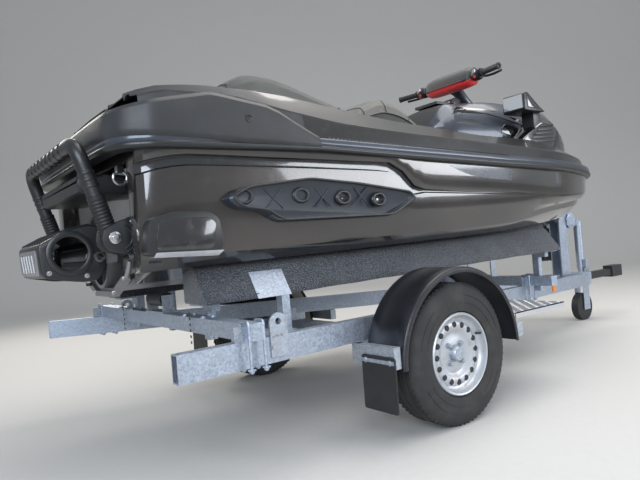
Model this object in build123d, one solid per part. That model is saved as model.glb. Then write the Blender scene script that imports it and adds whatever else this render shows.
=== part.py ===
from build123d import *
import math
import os

os.makedirs("parts", exist_ok=True)

# Frame: X forward to the bow, Y to port, Z up, millimetres.
# The origin is on the floor under the middle of the whole outline.

# Trailer driving dimensions
axle_x = -781
wheel_radius = 287.5
tyre_width = 165
rim_radius = 165
wheel_y = 765
rail_width = 42
rail_height = 86
rail_rear_x = axle_x - 1185
rail_joint_x = axle_x + 950
draw_front_x = axle_x + 2350
rail_rear_y = 835
rail_front_y = 100
rail_rear_top = 500
rail_front_top = 382
beam_size = 56
front_beam_x = axle_x + 1235
coupling_tip_x = axle_x + 2960
spare_centre = (axle_x + 2377, 275, 765)
spare_turn = 27
wall = 4

# Craft driving dimensions; stations along the craft are counted from stern_x
stern_x = axle_x - 1190
recess_x = stern_x + 85
rub_half_beam = 627.5
pump_z = 785
footwell_floor = 1045
bunk_foot = 598

# Pivots
step_pivot = (stern_x - 10, 857)
bucket_pivot = (stern_x, 800)
nozzle_pivot_x = stern_x + 5
hood_pivot = (stern_x + 3356, 1156)
lid_pivot = (stern_x + 2162, 1549)
neck_foot = Vector(stern_x + 2475, 0, 1546)
bar_centre = (stern_x + 2293, 1700)
jack_x = axle_x + 2560
jack_y = 82
jack_wheel_radius = 105
caster_trail = 35


def block(x0, x1, y0, y1, z0, z1):
    centre = Pos((x0 + x1) / 2, (y0 + y1) / 2, (z0 + z1) / 2)
    return centre * Box(x1 - x0, y1 - y0, z1 - z0)


def outline(points):
    return Face(Wire(Polyline(*points, close=True)))


def side_prism(points, y0, y1):
    """Prism across the craft from (x, z) points."""
    face = outline([(x, y0, z) for x, z in points])
    return extrude(face, amount=y1 - y0, dir=(0, 1, 0))


def stern_prism(points, y0, y1):
    """Prism across the craft from (x from transom, z) points."""
    return side_prism([(stern_x + x, z) for x, z in points], y0, y1)


def plan_prism(points, z0, z1):
    """Upright prism from (x, y) points."""
    face = outline([(x, y, z0) for x, y in points])
    return extrude(face, amount=z1 - z0, dir=(0, 0, 1))


def section_prism(points, x0, x1):
    """Prism along the craft from (y, z) points."""
    face = outline([(x0, y, z) for y, z in points])
    return extrude(face, amount=x1 - x0, dir=(1, 0, 0))


def station_loft(stations):
    """Ruled loft through closed (y, z) outlines, one for each x."""
    faces = [outline([(x, y, z) for y, z in ring]) for x, ring in stations]
    return loft(faces, ruled=True)


def rod(start, end, radius):
    """Round bar between two points."""
    line = Vector(end) - Vector(start)
    plane = Plane(origin=start, z_dir=line)
    return extrude(plane * Circle(radius), amount=line.length)


def cross_rod(x, z, y0, y1, radius):
    """Round bar across the craft."""
    return rod((x, y0, z), (x, y1, z), radius)


def pipe(points, radius, bend):
    """Round bar bent along straight runs."""
    path = FilletPolyline(*points, radius=bend)
    start = Plane(origin=path @ 0, z_dir=path % 0)
    return sweep(start * Circle(radius), path=path)


def mirrored(shape):
    return mirror(shape, about=Plane.XZ)


def save(node, *solids):
    shape = solids[0] if len(solids) == 1 else Compound(list(solids))
    export_step(shape, f"parts/{node}.step")


def save_pair(node, shape):
    """One node holding a piece and its mirror image."""
    save(node, shape, mirrored(shape))


def save_sides(node, shape):
    """A starboard piece and its port twin as two nodes."""
    save(f"{node}_right", shape)
    save(f"{node}_left", mirrored(shape))


# Hull and deck sections, one row for each station
# x from transom, keel z, inner chine y z, chine y z, lower side y z, crease y z, gunwale y z,
# shoulder y z, coaming top y z
stations = [
    (35, 650, 300, 702, 515, 742, 545, 772, 560, 1075, 566, 1165, 530, 1278, 430, 1290),
    (150, 650, 300, 702, 520, 745, 560, 775, 585, 1098, 600, 1163, 560, 1312, 470, 1365),
    (515, 650, 300, 703, 520, 748, 563, 778, 586, 1094, 601, 1150, 575, 1298, 480, 1387),
    (920, 650, 300, 704, 520, 752, 565, 782, 588, 1085, 602, 1135, 585, 1255, 485, 1345),
    (1140, 650, 300, 705, 520, 755, 565, 785, 588, 1078, 602, 1127, 588, 1240, 488, 1320),
    (1262, 650, 298, 706, 520, 757, 565, 786, 590, 978, 602, 1122, 589, 1233, 490, 1308),
    (1950, 652, 290, 712, 510, 770, 558, 798, 588, 952, 600, 1100, 585, 1205, 490, 1263),
    (2458, 668, 260, 730, 460, 800, 518, 850, 560, 932, 572, 1085, 552, 1185, 430, 1268),
    (2864, 715, 190, 770, 350, 835, 415, 878, 466, 948, 482, 1077, 458, 1170, 330, 1264),
    (3148, 805, 110, 845, 215, 888, 280, 921, 334, 974, 352, 1075, 328, 1148, 215, 1212),
    (3351, 940, 34, 956, 88, 972, 125, 991, 162, 1012, 185, 1075, 165, 1112, 90, 1138),
    (3407, 1004, 10, 1010, 24, 1021, 34, 1031, 46, 1042, 62, 1076, 52, 1091, 30, 1098),
]


def both_sides(half):
    """Close a starboard-to-port ring from one side's (y, z) points, bottom first."""
    return [(-y, z) for y, z in half] + [(y, z) for y, z in reversed(half)]


def hull_ring(row):
    _, keel, iy, iz, cy, cz, sy, sz, ry, rz, gy, gz = row[:12]
    half = [(iy, iz), (cy, cz), (sy, sz), (ry, rz), (gy, gz)]
    return [(0, keel)] + both_sides(half)


def deck_ring(row):
    gy, gz, sy, sz, ty, tz = row[10:]
    return both_sides([(gy - 2, gz), (sy, sz), (ty, tz)])


def make_hull():
    """Closed hull less engine bay, pump tunnel, intake, footwells and the recess in the transom."""
    bay = block(stern_x + 620, stern_x + 2280, -215, 215, 722, 1250)
    tunnel = block(stern_x - 10, stern_x + 430, -185, 185, 600, 920)
    intake = stern_prism([(420, 600), (420, 870), (900, 600)], -110, 110)
    wells = block(stern_x + 427, stern_x + 2103, -440, -250, footwell_floor, 1300)
    recess = block(stern_x - 60, recess_x, -460, 460, 600, 1110)
    return closed_hull - bay - tunnel - intake - wells - mirrored(wells) - recess


def make_deck():
    """The deck with its footwells cut, and the raised stern part split off."""
    well = block(stern_x + 427, stern_x + 2103, -440, -250, 900, 1500)
    whole = closed_deck - well - mirrored(well)
    cutter = stern_prism([(-50, 900), (620, 900), (620, 1168), (395, 1480), (-50, 1480)], -700, 700)
    return whole - cutter, whole & cutter


closed_hull = station_loft([(stern_x + row[0], hull_ring(row)) for row in stations])
closed_deck = station_loft([(stern_x + row[0], deck_ring(row)) for row in stations])
hull = make_hull()
deck, stern_deck = make_deck()
hinge_ear = block(hood_pivot[0] - 10, hood_pivot[0] + 10, -94, -82, 1112, hood_pivot[1] + 10)
hinge_ear -= closed_hull
hinge_bore = cross_rod(*hood_pivot, -100, 100, 6.05)
deck = deck + hinge_ear + mirrored(hinge_ear) - hinge_bore
save("hull", hull)
save("engine", block(stern_x + 870, stern_x + 1790, -190, 190, 724, 1060))
save("deck", deck)
save("stern_deck", stern_deck)

# Gunwale plan: x from transom, outer half breadth of the rub rail
gunwale = [
    (-50, 470), (-40, 530), (5, 592), (100, rub_half_beam), (1950, rub_half_beam), (2205, 622),
    (2458, 600), (2864, 510), (3148, 382), (3351, 220), (3417, 100), (3432, 0),
]
starboard = [(stern_x + x, -y) for x, y in gunwale]
port = [(stern_x + x, y) for x, y in reversed(gunwale) if y > 0]
band = plan_prism(starboard + port, 1000, 1400) - closed_hull - closed_deck
bumper_profile = [(-60, 1165), (-60, 1262), (80, 1290), (290, 1332), (530, 1297), (735, 1190), (735, 1140)]
rail_profile = [(740, 1133), (740, 1188), (1950, 1142), (3480, 1106), (3480, 1052), (1950, 1084)]
save("stern_bumper", band & stern_prism(bumper_profile, -700, 700))
save("rub_rail", band & stern_prism(rail_profile, -700, 700))

# Mats
mat = block(stern_x + 437, stern_x + 2093, -435, -255, footwell_floor, footwell_floor + 10)
save_pair("footwell_mats", mat)

# Seats: side outlines as (x from transom, z)
rear_seat_outline = [(600, 1330), (585, 1500), (737, 1579), (896, 1563), (1290, 1445), (1290, 1290)]
front_seat_outline = [
    (1300, 1290), (1300, 1440), (1400, 1480), (1502, 1519), (1640, 1488), (1830, 1370), (1870, 1250),
]


def seat(points, half_width, rounding):
    body = stern_prism(points, -half_width, half_width)
    top = [e for e in body.edges() if e.center().Z > 1420 and abs(e.center().Y) > half_width - 1]
    return fillet(top, rounding) - closed_deck


save("rear_seat", seat(rear_seat_outline, 185, 40))
save("front_seat", seat(front_seat_outline, 195, 45))

# Console sections: x from transom, half breadth at the deck, at the top, height of the top
console_rows = [
    (1905, 165, 120, 1400), (2028, 235, 165, 1522), (2425, 285, 195, 1555), (2699, 300, 200, 1547),
]


def console_ring(row):
    x, low, high, top = row
    return both_sides([(low, 1240), (low + 4, 1375), (high, top)])


neck_top = Vector(bar_centre[0], 0, bar_centre[1])
neck_dir = (neck_top - neck_foot).normalized()


def along_neck(distance):
    """Point on the steering column at a distance from its foot."""
    return tuple(neck_foot + neck_dir * distance)


lid_x, lid_z = lid_pivot
console = station_loft([(stern_x + row[0], console_ring(row)) for row in console_rows])
gauge = block(stern_x + 2190, stern_x + 2270, -70, 70, 1500, 1590)
lid_ear = block(lid_x - 12, lid_x + 12, 97, 109, 1500, lid_z + 11)
console += rod(along_neck(-90), along_neck(20), 44) + gauge + lid_ear + mirrored(lid_ear)
console -= cross_rod(lid_x, lid_z, -120, 120, 5.05)
console -= rod(along_neck(-66), along_neck(30), 22.05)
console -= rod(along_neck(20), along_neck(200), 38)
save("console", console - closed_deck)
lid = block(lid_x - 127, lid_x - 2, -88, 88, lid_z - 8, lid_z + 8)
save("glove_lid", lid + cross_rod(lid_x, lid_z, -109, 109, 5))

# Hood sections: x from transom, half breadth at the deck, base height, shoulder height,
# top half breadth, top height
hood_rows = [
    (2706, 298, 1270, 1393, 200, 1550), (2957, 280, 1270, 1380, 185, 1535),
    (3158, 210, 1216, 1310, 140, 1440), (3276, 130, 1173, 1240, 80, 1330),
    (3335, 75, 1153, 1195, 42, 1240),
]


def hood_ring(row):
    _, low, base, shoulder, high, top = row
    return both_sides([(low, base), (low, shoulder), (high, top)])


hood = station_loft([(stern_x + row[0], hood_ring(row)) for row in hood_rows])
tongue = block(stern_x + 3325, hood_pivot[0], -70, 70, 1153, hood_pivot[1] + 6)
save("hood", hood + tongue + cross_rod(*hood_pivot, -94, 94, 6))

# Steering: a neck along the tilted column, then the bar with its pad and grips
bar_z = bar_centre[1]
bar_points = [
    (bar_centre[0] - 62, -395, bar_z - 2), (bar_centre[0] - 20, -200, bar_z + 2),
    (bar_centre[0], -90, bar_z), (bar_centre[0], 90, bar_z),
    (bar_centre[0] - 20, 200, bar_z + 2), (bar_centre[0] - 62, 395, bar_z - 2),
]
pad_outline = [(-70, -46), (-62, 42), (20, 86), (70, 53), (62, -30), (0, -59)]
pad = side_prism([(bar_centre[0] + x, bar_z + z) for x, z in pad_outline], -175, 175)
bar = pipe(bar_points, 11, 60)
neck = rod(along_neck(28), tuple(neck_top), 30) + rod(along_neck(-60), along_neck(30), 22)
save("handlebar", bar + neck)
save("handlebar_pad", pad - bar - neck)
grip_line = (Vector(bar_points[0]) - Vector(bar_points[1])).normalized()
grip_end = Vector(bar_points[0]) + grip_line * 6
grip_start = Vector(bar_points[1]) + grip_line * 70
save_pair("grips", rod(tuple(grip_start), tuple(grip_end), 17) - bar)
housing_end = Vector(bar_points[1]) + grip_line * 66
housing = rod(bar_points[1], tuple(housing_end), 36) - bar
lever_root = grip_start + Vector(60, 8, -18)
lever_tip = grip_end + Vector(62, 20, -22)
lever = rod(tuple(grip_start + Vector(4, 20, -22)), tuple(lever_root), 7)
lever += rod(tuple(lever_root), tuple(lever_tip), 7) + Pos(*lever_root) * Sphere(8)
save_pair("switch_housings", housing + (lever - bar))

# Side pods and mirrors on the console flanks
pod_outline = [
    (2264, 1215), (2400, 1310), (2591, 1406), (2700, 1395), (2798, 1334), (2758, 1227), (2640, 1200),
]
hood_room = block(stern_x + 2694, stern_x + 2830, -306, 306, 1100, 1500)
pod = stern_prism(pod_outline, -420, -262) - console - closed_deck - hood_room
save_pair("side_pods", pod)
mirror_points = [(2370, 1443), (2573, 1443), (2513, 1474), (2404, 1551), (2375, 1543)]
mirror_frame = stern_prism(mirror_points, -452, -300)
arm_points = [(2510, 1350), (2592, 1350), (2573, 1452), (2512, 1452)]
mirror_arm = stern_prism(arm_points, -410, -330)
save_pair("mirror_frames", mirror_frame + (mirror_arm - pod))
save_pair("mirror_glasses", block(stern_x + 2363, stern_x + 2369.9, -440, -312, 1457, 1535))

# Sponson along the hull side with four holes: x from transom, z
sponson_outline = [
    (309, 961), (387, 1000), (672, 1029), (925, 1007), (1228, 966), (1249, 936), (1116, 868),
    (524, 869), (465, 911), (353, 926),
]
sponson = stern_prism(sponson_outline, -632, -540)
for x, z in [(385, 966), (629, 964), (832, 951), (1019, 939)]:
    sponson -= Pos(stern_x + x, -620, z) * Rot(90, 0, 0) * Cylinder(23, 40)
save_pair("sponsons", sponson - hull)
stern_block_outline = [(40, 785), (270, 772), (306, 805), (292, 898), (258, 921), (120, 924)]
save_pair("stern_blocks", stern_prism(stern_block_outline, -605, -500) - hull)

# Plate that closes the tunnel below the pump, with a cast frame at its rear and the intake grate
plate_section = [
    (-184, 690), (-110, 660), (110, 660), (184, 690), (184, 702), (104, 672), (-104, 672), (-184, 702),
]
frame_section = [
    (-270, 706), (-112, 640), (112, 640), (270, 706), (255, 726), (104, 662), (-104, 662), (-255, 726),
]
ride_plate = section_prism(plate_section, stern_x + 75, stern_x + 428)
ride_plate += section_prism(frame_section, stern_x + 58, stern_x + 84)
grate = block(stern_x + 425, stern_x + 800, -105, 105, 648, 662)
for y in (-75, -25, 25, 75):
    grate -= block(stern_x + 460, stern_x + 780, y - 17, y + 17, 640, 680)
save("ride_plate", (ride_plate + grate) - hull)

# Jet pump and steering nozzle
along = Rot(0, 90, 0)
pump_at = Pos(stern_x + 240, 0, pump_z)
pump = pump_at * along * (Cylinder(112, 380) - Cylinder(98, 382))
pump_core = pump_at * along * Cylinder(105, 400)
pump_feet = block(stern_x + 90, stern_x + 420, -60, 60, 672, 700) - pump_core
pump_mount = block(stern_x + 90, stern_x + 420, -60, 60, 880, 920) - pump_core
stator = pump_at * Pos(-150, 0, 0) * along * Cylinder(40, 60)
for i in range(6):
    vane = Pos(-150, 0, 0) * Rot(i * 60, 0, 0) * Pos(0, 0, 68) * Box(60, 4, 64)
    stator += pump_at * vane
bearing = pump_at * Pos(-150, 0, 0) * along * Cylinder(14.05, 62)
bx, bz = bucket_pivot
bucket_ear = block(bx - 20, bx + 70, 106, 174, bz - 24, bz + 24) - pump_core
bucket_ear += cross_rod(bx, bz, 170, 196, 10)
pump_rings = pump + pump_feet + pump_mount + stator - bearing
# The raised bucket's top edge swings in over the rear of the housing
pump_rings -= block(stern_x + 40, stern_x + 76, -120, 120, 860, 900)
save("pump_housing", pump_rings + bucket_ear + mirrored(bucket_ear))
impeller = pump_at * Pos(20, 0, 0) * along * Cylinder(34, 90)
for i in range(4):
    blade = Rot(i * 90, 0, 0) * Pos(20, 0, 60) * Rot(0, 0, 35) * Box(70, 5, 62)
    impeller += pump_at * blade
save("impeller", impeller + pump_at * Pos(-50, 0, 0) * along * Cylinder(14, 260))
nozzle_cone = Cone(60, 76, 130) - Cone(53, 69, 132)
nozzle = Pos(nozzle_pivot_x - 45, 0, pump_z) * along * nozzle_cone
nozzle_lugs = [Pos(nozzle_pivot_x, 0, pump_z + s * 84) * Cylinder(12, 24) for s in (-1, 1)]
save("steering_nozzle", nozzle + nozzle_lugs)

# Reverse bucket: a shell open to the front and below, with a round hole in each side
bucket_side = [
    (25, 98), (-23, 122), (-67, 112), (-129, 93), (-208, 56), (-200, -60), (-142, -72),
    (-83, -86), (-10, -88), (25, -40),
]
inner_side = [
    (50, 82), (-23, 113), (-65, 103), (-126, 84), (-199, 50), (-192, -53), (-140, -63),
    (-83, -100), (-10, -120), (50, -60),
]
bucket = side_prism([(bx + x, bz + z) for x, z in bucket_side], -190, 190)
bucket -= side_prism([(bx + x, bz + z) for x, z in inner_side], -182, 182)
bucket -= cross_rod(bx - 100, bz + 20, -200, 200, 62)
bucket -= cross_rod(bx, bz, -200, 200, 10.05)
save("reverse_bucket", bucket)

# Boarding step: two-plate brackets on the transom, a bent bar, and a ribbed pad above the bucket
sx, sz = step_pivot
leg_y = 382
bracket_outline = [
    (-44, 888), (3, 910), (67, 929), (85, 929), (85, 803), (27, 797), (-32, 814), (-53, 843),
]
bracket = stern_prism(bracket_outline, -428, -413) + stern_prism(bracket_outline, -351, -336)
bracket += block(recess_x - 15, recess_x, -428, -336, 803, 929)
bracket -= cross_rod(sx, sz, -440, -320, 12.05)
save_pair("step_brackets", bracket)
leg_dir = Vector(-0.278, 0, 0.961)
leg_top = Vector(sx, 0, sz) + leg_dir * 340
step_bar = pipe(
    [
        (sx, -leg_y, sz), (leg_top.X, -leg_y, leg_top.Z), (leg_top.X, leg_y, leg_top.Z),
        (sx, leg_y, sz),
    ],
    27,
    75,
)
step_pin = cross_rod(sx, sz, -432, -332, 12)
step_eye = cross_rod(sx, sz, -leg_y - 25, 25 - leg_y, 34)
step_foot = step_pin + step_eye
save("boarding_step", step_bar + step_foot + mirrored(step_foot))
save("step_tread", block(stern_x - 85, recess_x, -290, 290, 1022, 1090))

# Towing rings at the stern and the bow eye
tow_block = block(stern_x + 36, stern_x + 60, -365, -335, 1088, 1110)
tow_ring = tow_block + Pos(stern_x + 48, -350, 1070) * Rot(90, 0, 0) * Torus(24, 5)
bow_eye = Pos(stern_x + 3352, 0, 896) * Rot(90, 0, 0) * Torus(22, 5)
bow_eye += rod((stern_x + 3305, 0, 948), (stern_x + 3336, 0, 908), 6)
save("tow_eyes", tow_ring, mirrored(tow_ring), bow_eye - hull)


# Wheels
def tyre_ring():
    half = tyre_width / 2
    shoulder = wheel_radius - 20
    section = outline(
        [
            (0, half - 26, rim_radius), (0, half, 225), (0, half - 10, shoulder),
            (0, half - 36, wheel_radius), (0, 36 - half, wheel_radius), (0, 10 - half, shoulder),
            (0, -half, 225), (0, 26 - half, rim_radius),
        ]
    )
    return revolve(section, axis=Axis.Y)


def rim_disc():
    """Pressed wheel: barrel, disc with sixteen holes, and hub cap."""
    half = 72
    barrel = Rot(90, 0, 0) * (Cylinder(rim_radius, 2 * half) - Cylinder(rim_radius - 8, 2 * half + 2))
    disc = Rot(90, 0, 0) * Pos(0, 0, 20) * Cylinder(rim_radius - 4, 10)
    holes = [
        Pos(125 * math.cos(a), -20, 125 * math.sin(a)) * Rot(90, 0, 0) * Cylinder(9, 30)
        for a in [i * math.pi / 8 for i in range(16)]
    ]
    cap = Rot(90, 0, 0) * Pos(0, 0, 40) * Cylinder(30, 50)
    bore = Rot(90, 0, 0) * Cylinder(25.05, 50)
    return barrel + disc - holes + cap - bore


wheel_at = Pos(axle_x, -wheel_y, wheel_radius)
save_sides("tyre", wheel_at * tyre_ring())
save_sides("rim", wheel_at * rim_disc())


# Trailer frame: two side rails that run in and down to the coupling
def along_rail(x):
    return (x - rail_rear_x) / (draw_front_x - rail_rear_x)


def rail_y(x):
    """Outer face of the side rail at x."""
    return rail_rear_y + (rail_front_y - rail_rear_y) * along_rail(x)


def rail_top(x):
    """Top of the side rail at x."""
    return rail_rear_top + (rail_front_top - rail_rear_top) * along_rail(x)


def rail_ring(x, inset):
    outer, inner = inset - rail_y(x), rail_width - inset - rail_y(x)
    low, high = rail_top(x) - rail_height + inset, rail_top(x) - inset
    return [(outer, low), (inner, low), (inner, high), (outer, high)]


def rail_part(x0, x1, inset=0):
    return station_loft([(x, rail_ring(x, inset)) for x in (x0, x1)])


side_rail = rail_part(rail_rear_x, rail_joint_x) - rail_part(rail_rear_x - 10, rail_joint_x - 20, wall)
draw_side = rail_part(rail_joint_x, draw_front_x)
full_rail = rail_part(rail_rear_x, draw_front_x)
rails = [full_rail, mirrored(full_rail)]
save_pair("side_rails", side_rail)
save_pair("drawbar_sides", draw_side)
nose = block(draw_front_x - 90, draw_front_x + 60, -80, 80, 300, 386)
save("drawbar_nose", nose - rails)

# Cross beams: x, half length, underside, y of the bunk posts on it, or 0
beams = [
    (axle_x - 905, 800, rail_top(axle_x - 905), 380),
    (axle_x - 680, rail_y(axle_x - 680) - rail_width - 6, 424, 548),
    (front_beam_x, 505, rail_top(front_beam_x), 375),
]
cross = [block(x - 28, x + 28, -half, half, low, low + beam_size) - rails for x, half, low, _ in beams]
save("cross_beams", *cross)
fittings = []
for x, half, low, _ in beams:
    side = rail_y(x)
    clamp = block(x - 70, x - 28, -side - 8, 12 - side, low - 70, low + beam_size - 6)
    if half < side:
        clamp = block(x - 28, x + 28, -half - 6, -half, low, low + beam_size)
    fittings += [clamp - rails, mirrored(clamp - rails)]
ear_x = axle_x - 800
ear_y = rail_y(ear_x)
ear = block(ear_x - 34, ear_x + 34, -ear_y - 12, -ear_y - 4, 420, 530)
ear += cross_rod(ear_x, 530, -ear_y - 12, -ear_y - 4, 34)
ear += block(ear_x - 34, ear_x + 34, -ear_y - 8, 6 - ear_y, 430, 470)
ear = ear - cross_rod(ear_x, 536, -ear_y - 20, -ear_y, 11) - rails
save("beam_fittings", *fittings, ear, mirrored(ear))

# Axle: a square tube ahead of the wheel centre with trailing arms and stub shafts
axle_tube_x = axle_x + 130
axle_tube = block(axle_tube_x - 40, axle_tube_x + 40, -636, 636, 250, 330)
arm_outline = [
    (axle_tube_x + 40, 250), (axle_tube_x + 40, 330), (axle_x, wheel_radius + 38),
    (axle_x - 38, wheel_radius), (axle_x, wheel_radius - 38),
]
arm = side_prism(arm_outline, -672, -636)
stub = cross_rod(axle_x, wheel_radius, -790, -666, 25)
hub = cross_rod(axle_x, wheel_radius, -690, -668, 60)
carrier_y = rail_y(axle_tube_x)
carrier = block(axle_tube_x - 60, axle_tube_x + 60, -carrier_y, rail_width - carrier_y, 330, 400) - rails
arms = arm + stub + hub + carrier
save("axle", axle_tube + arms + mirrored(arms))


# Mudguards: an arch over each tyre, with brackets, flap and step plate
def arc_points(radius, angles):
    """(x, z) points on a circle round the wheel centre."""
    turns = [math.radians(a) for a in angles]
    return [(axle_x + radius * math.cos(t), wheel_radius + radius * math.sin(t)) for t in turns]


def arch(outer, inner, y0, y1):
    angles = range(0, 181, 15)
    return side_prism(arc_points(outer, angles) + arc_points(inner, reversed(angles)), y0, y1)


guard = arch(352, 344, -872, -667) + arch(352, 318, -872, -866) + arch(352, 318, -673, -667)
save_sides("mudguard", guard)
support = block(axle_x - 385, axle_x - 352, -860, -625, 300, 380) - guard
front_support = block(axle_x + 352, axle_x + 390, -860, -475, 300, 358) - guard
supports = [support - rails, front_support - rails]
save("mudguard_brackets", *supports, *[mirrored(s) for s in supports])
flap = block(axle_x - 391, axle_x - 385, -868, -686, 140, 345)
save_pair("mud_flaps", flap)
step_plate = block(axle_x + 392, axle_x + 781, -830, -540, 392, 398)
strut_rear = block(axle_x + 400, axle_x + 430, -800, -480, 360, 392)
strut_front = block(axle_x + 735, axle_x + 765, -800, -410, 350, 392)
strut_side = block(axle_x + 430, axle_x + 735, -580, -570, 366, 392)
save_pair("step_plates", step_plate + (strut_rear + strut_front + strut_side - rails))

# Bunks: carpeted wedges whose tops take the shape of the hull bottom
bunk_section = [(-568, 0), (-482, 130), (-440, 200), (-372, 200), (-366, 4)]
bunk_ends = [(axle_x - 950, 0), (axle_x + 1300, 22)]
bunk = station_loft(
    [(x, [(y + shift * 2, bunk_foot + z + shift) for y, z in bunk_section]) for x, shift in bunk_ends]
)
bunk -= closed_hull
save_pair("bunks", bunk)
posts = []
saddles = []
for x, _, low, post_y in beams:
    shift = 22 * (x - bunk_ends[0][0]) / (bunk_ends[1][0] - bunk_ends[0][0])
    foot = bunk_foot + shift
    edge = -568 + 2 * shift
    if post_y > 500:
        face = [(edge - 8, foot - 2), (edge, foot), (edge + 60, foot + 90), (edge + 52, foot + 94)]
        saddle = section_prism(face, x - 72, x + 72)
    else:
        saddle = block(x - 40, x + 76, -490, -400, foot - 6, foot + 4)
    saddle -= bunk
    post = block(x + 28, x + 62, -post_y - 20, 20 - post_y, low - 36, foot + 4)
    if post_y < 400:
        post += block(x + 28, x + 62, -440, -post_y, foot - 36, foot + 4)
    posts += [post - saddle - bunk - rails, mirrored(post - saddle - bunk - rails)]
    saddles += [saddle, mirrored(saddle)]
save("bunk_posts", *posts)
save("bunk_saddles", *saddles)

# Keel supports on the rear and front beams
keel_rollers = []
keel_supports = []
for x, roller_z in [(beams[0][0], 602), (front_beam_x, 606)]:
    low = beams[0][2] if x < axle_x else beams[2][2]
    deck_z = low + beam_size
    cheek = block(x - 24, x + 24, -94, -86, deck_z, roller_z + 18)
    plate = block(x - 28, x + 28, -100, 100, deck_z, deck_z + 6)
    support = plate + cheek + mirrored(cheek) + cross_rod(x, roller_z, -92, 92, 8)
    keel_rollers.append(cross_rod(x, roller_z, -80, 80, 30) - support - closed_hull)
    keel_supports.append(support - closed_hull)
save("keel_supports", *keel_supports)

# Winch post with bow roller, winch and the arm of the spare wheel
post_x = axle_x + 2140
post_outline = [(-45, 388), (60, 384), (55, 892), (-35, 892)]
channel_outline = [(-80, 370), (54, 370), (49, 920), (-80, 920)]
winch_post = side_prism([(post_x + x, z) for x, z in post_outline], -40, 40)
winch_post -= side_prism([(post_x + x, z) for x, z in channel_outline], -34, 34)
spare_at = Pos(*spare_centre) * Rot(0, 0, spare_turn)
spare_rim = spare_at * rim_disc()
spare_arm = spare_at * block(-30, 30, -262, -60, -25, 25)
arm_z = spare_centre[2]
spare_arm += block(post_x + 10, spare_centre[0] + 150, 52, 70, arm_z - 25, arm_z + 25)
spare_arm += block(post_x - 20, post_x + 30, 36, 70, arm_z - 25, arm_z + 25)
bow_roller = cross_rod(post_x - 92, 820, -55, 55, 42) - closed_hull
roller_arm = block(post_x - 104, post_x - 30, -68, -60, 806, 834)
roller_arm += block(post_x - 44, post_x - 30, -68, -36, 806, 834)
bow_pin = cross_rod(post_x - 92, 820, -68, 68, 8)
bow_roller -= bow_pin
drum_at = (post_x + 130, 780)
winch_frame = block(post_x + 50, post_x + 160, -52, 52, 750, 810)
winch_frame -= block(post_x + 66, post_x + 170, -46, 46, 720, 820)
drum = cross_rod(*drum_at, -40, 40, 58) + cross_rod(*drum_at, -49, 49, 10)
carrier_parts = winch_post + winch_frame + spare_arm + roller_arm + mirrored(roller_arm) + bow_pin
spare_tyre = spare_at * tyre_ring()
save("winch_post", carrier_parts - drum - bow_roller - spare_rim)
save("winch_drum", drum)
save("rollers", *keel_rollers, bow_roller)
save("spare_tyre", spare_tyre)
save("spare_rim", spare_rim)

# Coupling with its ball socket open below
ball_radius = 25.3
socket_x = coupling_tip_x - 48
coupling = block(draw_front_x + 60, coupling_tip_x - 60, -28, 28, 320, 372)
coupling += block(coupling_tip_x - 150, coupling_tip_x, -38, 38, 306, 394)
coupling -= Pos(socket_x, 0, 336) * Sphere(ball_radius)
coupling -= Pos(socket_x, 0, 320) * Cylinder(ball_radius, 32)
save("coupling", coupling)

# Jockey-wheel jack on the port side of the drawbar
tube_z0, tube_z1 = 400, 760
jack_clamp = block(jack_x - 20, jack_x + 20, 28, 34, 330, 470)
jack_clamp += block(jack_x - 20, jack_x + 20, 28, 55, 410, 470)
jack_tube = Pos(jack_x, jack_y, (tube_z0 + tube_z1) / 2) * (
    Cylinder(30, tube_z1 - tube_z0) - Cylinder(25.06, tube_z1 - tube_z0 + 2)
)
jack_cap = Pos(jack_x, jack_y, tube_z1 + 5) * Cylinder(30, 10)
save("jack_tube", jack_tube + jack_cap + jack_clamp)
leg = Pos(jack_x, jack_y, (300 + 640) / 2) * Cylinder(25, 340)
leg_bore = Pos(jack_x, jack_y, 320) * Cylinder(12.05, 42)
save("jack_leg", leg - leg_bore)
fork_top = Pos(jack_x, jack_y, 292) * Cylinder(26, 15.8)
fork_pin = Pos(jack_x, jack_y, 310) * Cylinder(12, 40)
fork = fork_top + fork_pin + block(jack_x - 26, jack_x + 26, jack_y - 37, jack_y + 37, 278, 284.2)
for y in (jack_y - 37, jack_y + 33):
    fork += block(jack_x - caster_trail - 22, jack_x + 26, y, y + 4, 80, 284)
wheel_line = (jack_x - caster_trail, jack_wheel_radius)
save("jack_fork", fork + cross_rod(*wheel_line, jack_y - 37, jack_y + 37, 8))
tread = cross_rod(*wheel_line, jack_y - 27, jack_y + 27, jack_wheel_radius)
save("jack_wheel", tread - cross_rod(*wheel_line, jack_y - 28, jack_y + 28, 8.05))

reflector_y = rail_y(axle_x + 1622)
reflector = block(axle_x + 1607, axle_x + 1637, -reflector_y - 10, 6 - reflector_y, 335, 380)
save_pair("reflectors", reflector - rails)
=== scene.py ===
import math
import bmesh
import bpy
from mathutils import Matrix, Vector


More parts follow.
